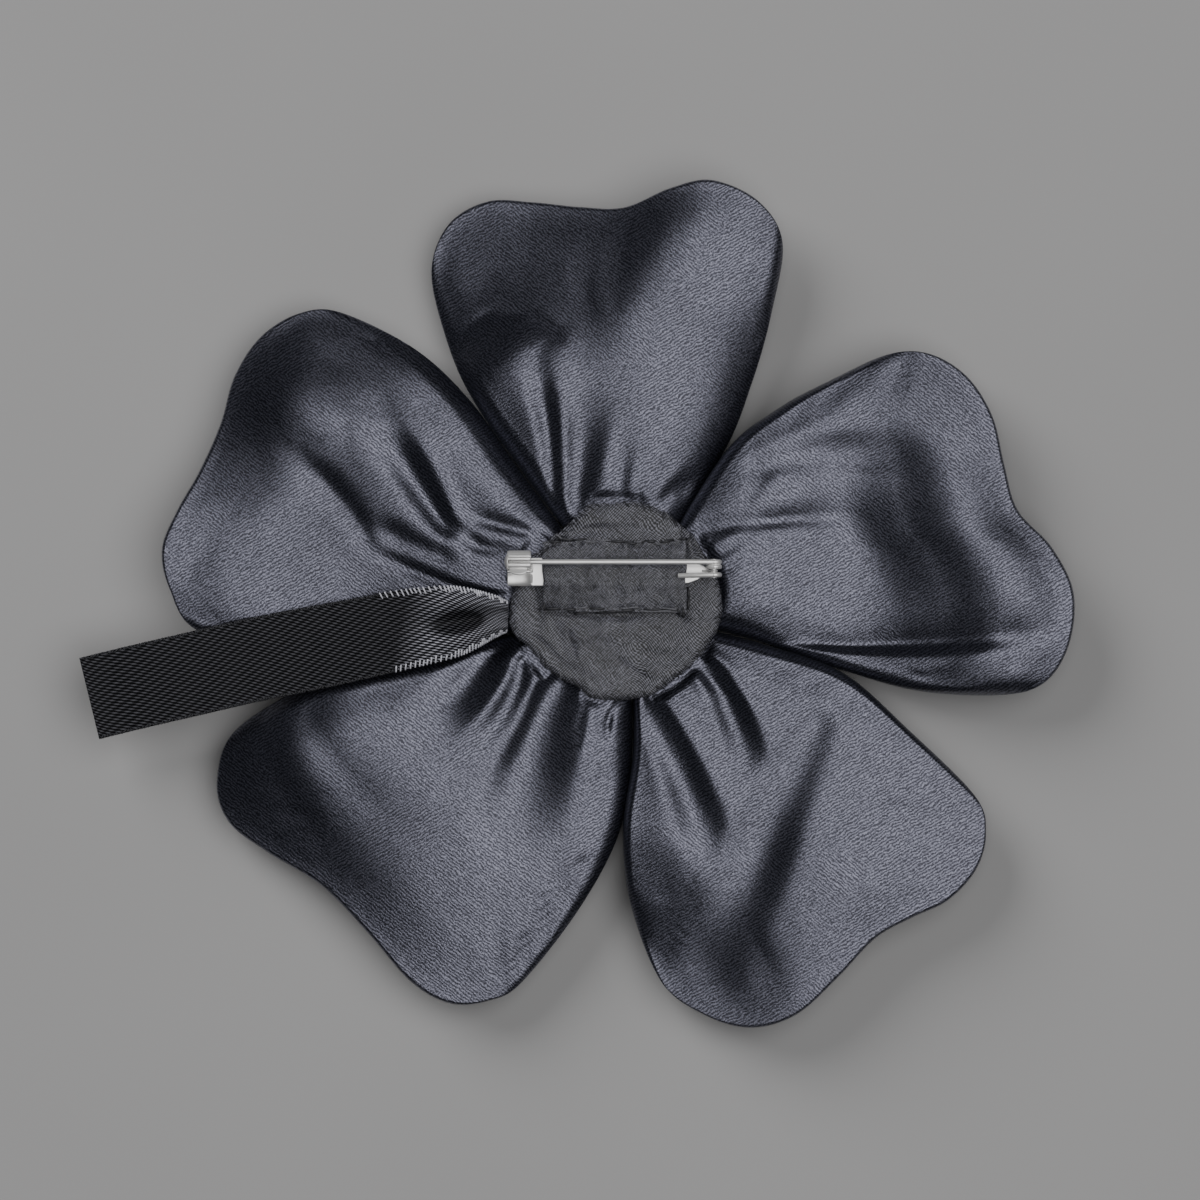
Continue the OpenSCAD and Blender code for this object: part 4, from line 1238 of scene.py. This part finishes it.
# Height, place across and width of the crests on both sides, and of the hollow between them
CRESTS = (0.9, 0.55, 0.3)
HOLLOW = (1.5, -0.05, 0.3)
RIBBON_WAVES = (0.02, 4, 51)
RIBBON_STEPS = (80, 260)
# Light bars along each edge where the ribbon is gathered: number, first place, part of the length, radius
BARS = 38
BARS_FROM = 0.012
BARS_PART = 0.35
BAR_R = 0.12
# Dark stitches along the rest of each edge: the same
DOTS = 96
DOTS_FROM = 0.36
DOTS_PART = 0.635
DOT_R = 0.085


def ribbon_at(u, s):
    """Plan and top height of the ribbon, u from -1 to 1 across it and s from 0 to 1 along it."""
    row = row_at(RIBBON_ROWS, s)
    way = row_at(RIBBON_ROWS, np.minimum(1, s + 0.01)) - row_at(RIBBON_ROWS, np.maximum(0, s - 0.01))
    side = np.stack([way[..., 1], -way[..., 0]], -1) / np.linalg.norm(way[..., :2], axis=-1)[..., None]
    plan = row[..., :2] + side * (u * row[..., 2])[..., None]
    crests = hump(np.abs(u), *CRESTS) * (1 - ease((s - 0.08) / 0.3))
    hollow = hump(u, *HOLLOW) * ease((s - 0.06) / 0.1) * (1 - ease((s - 0.2) / 0.13))
    pinch = 0.5 * np.cos(3 * math.pi * u) * (1 - ease(s / 0.07))
    sag = 0.12 * np.sin(9 * s) * ease(s / 0.3) - 0.1 * np.abs(u) ** 4
    high = row[..., 3] + RIBBON_RISE + crests - hollow + pinch + sag
    return plan, np.clip(high + uneven(plan[..., 0], plan[..., 1], RIBBON_WAVES), *RIBBON_LEVELS)


def add_weave_places(mesh, u, s):
    """Place of each point of the ribbon's weave, which its material follows."""
    flat = np.tile(np.stack([u / 2 + 0.5, s], -1).reshape(-1, 2), (2, 1))
    used = np.empty(len(mesh.loops), int)
    mesh.loops.foreach_get("vertex_index", used)
    mesh.uv_layers.new(name="woven").data.foreach_set("uv", flat[used].ravel())


def make_ribbon():
    u, s = grid(np.linspace(-1, 1, RIBBON_STEPS[0] + 1), np.linspace(0, 1, RIBBON_STEPS[1] + 1))
    upper = raised(*ribbon_at(u, s))
    lower = upper - [0, 0, RIBBON_THICK]
    ribbon = add_pad("ribbon_cloth", upper, lower, RIBBON_STEPS, RIBBON, "ribbon_tail")
    add_weave_places(ribbon.data, u, s)
    edges = [make_ladder(), make_selvedge()]


def edge_thread(threads, u, s, lift, radius):
    """Thread over one edge of the ribbon, lift millimetres above its cloth."""
    plan, high = ribbon_at(u, s)
    threads.add_tube(raised(plan, high + lift), radius)


def make_ladder():
    """Light bars that bind the edges where the ribbon is gathered."""
    threads = Shells()
    for side in (-1, 1):
        for k in range(BARS):
            s = BARS_FROM + BARS_PART * (k + 0.3 * math.sin(7 * k)) / BARS + 0.004 * np.linspace(0, 1, 4)
            inner = 0.86 - 0.12 * math.sin(5 * k) * (1 - k / BARS)
            edge_thread(threads, side * np.linspace(inner, 1.02, 4), s, 0.05, BAR_R - 0.03 * k / BARS)
    return threads.thread_piece("ribbon_ladder", LIGHT_THREAD, "ribbon")


def make_selvedge():
    """Small dark stitches all along both edges."""
    threads = Shells()
    for side in (-1, 1):
        for k in range(DOTS):
            s = DOTS_FROM + DOTS_PART * k / DOTS + 0.005 * np.linspace(-1, 1, 3) * math.cos(k)
            edge_thread(threads, side * np.linspace(0.93, 1.0, 3), s, 0.03, DOT_R)
    return threads.thread_piece("ribbon_selvedge", THREAD, "ribbon")


make_ribbon()


# Covered button at the middle of the hidden front: radius and height from its lower middle to its upper one
BUTTON_PROFILE = [
    [0.0, 0.2], [3.0, 0.2], [6.5, 0.22], [8.0, 0.5], [8.9, 1.0], [9.4, 1.5], [9.3, 1.9], [8.6, 2.1],
    [8.1, 2.2], [8.1, 4.5], [8.0, 6.9], [4.0, 7.0], [0.0, 7.0]]
BUTTON_LOW = 0.2
BUTTON_STEPS = (90, 120)


def make_button():
    along, around = BUTTON_STEPS
    profile = row_at(BUTTON_PROFILE, np.linspace(0, 1, along + 1))
    turn = np.arange(around) * 2 * math.pi / around
    radius = np.maximum(profile[:, :1], 0.0)
    gathers = 1 - 0.012 * ease((radius - 7.5) / 1.5) * (1 + np.sin(24 * turn + 2 * np.sin(5 * turn)))
    plan = (radius * gathers)[..., None] * np.stack([np.cos(turn), np.sin(turn)], -1)
    height = np.broadcast_to(np.maximum(profile[:, 1:], BUTTON_LOW), (along + 1, around))
    faces = ring_faces(along + 1, around)
    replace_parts(add_piece("button_satin", raised(plan, height), faces, SATIN), "front_centre")


make_button()


# Floor and light. Their lengths are metres
FLOOR_REACH = 2.0
FLOOR_COLOURS = ((0.312, 0.308, 0.308), (0.332, 0.328, 0.328))
WORLD_COLOUR = (0.9, 0.95, 1.0, 1)
WORLD_STRENGTH = 0.035


def make_floor():
    mesh = bpy.data.meshes.new("floor")
    corners = [(x * FLOOR_REACH, y * FLOOR_REACH, 0) for x, y in ((-1, -1), (1, -1), (1, 1), (-1, 1))]
    mesh.from_pydata(corners, [], [(0, 1, 2, 3)])
    mesh.materials.append(floor_material("floor", *FLOOR_COLOURS))
    add_object("floor", mesh)


def make_light(name, lean, towards, distance, half_angle, power):
    """A soft box that leans away from straight up by lean degrees, towards a compass turn from +X."""
    data = bpy.data.lights.new(name, "AREA")
    data.shape = "DISK"
    data.size = 2 * distance * math.tan(math.radians(half_angle))
    data.energy = power
    light = add_object(name, data)
    lean, towards = math.radians(lean), math.radians(towards)
    aside = distance * math.sin(lean)
    light.location = (aside * math.cos(towards), aside * math.sin(towards), distance * math.cos(lean))
    light.rotation_euler = (0, lean, towards)
    return light


def make_world():
    world = bpy.data.worlds.new("studio")
    world.use_nodes = True
    background = world.node_tree.nodes["Background"]
    background.inputs["Color"].default_value = WORLD_COLOUR
    background.inputs["Strength"].default_value = WORLD_STRENGTH
    bpy.context.scene.world = world


make_floor()
make_light("main_box", lean=19.5, towards=0, distance=1.2, half_angle=31, power=12)
# This one only throws the soft shadow
side_box = make_light("side_box", lean=59, towards=135, distance=1.3, half_angle=19, power=14)
side_box.visible_glossy = False
make_world()
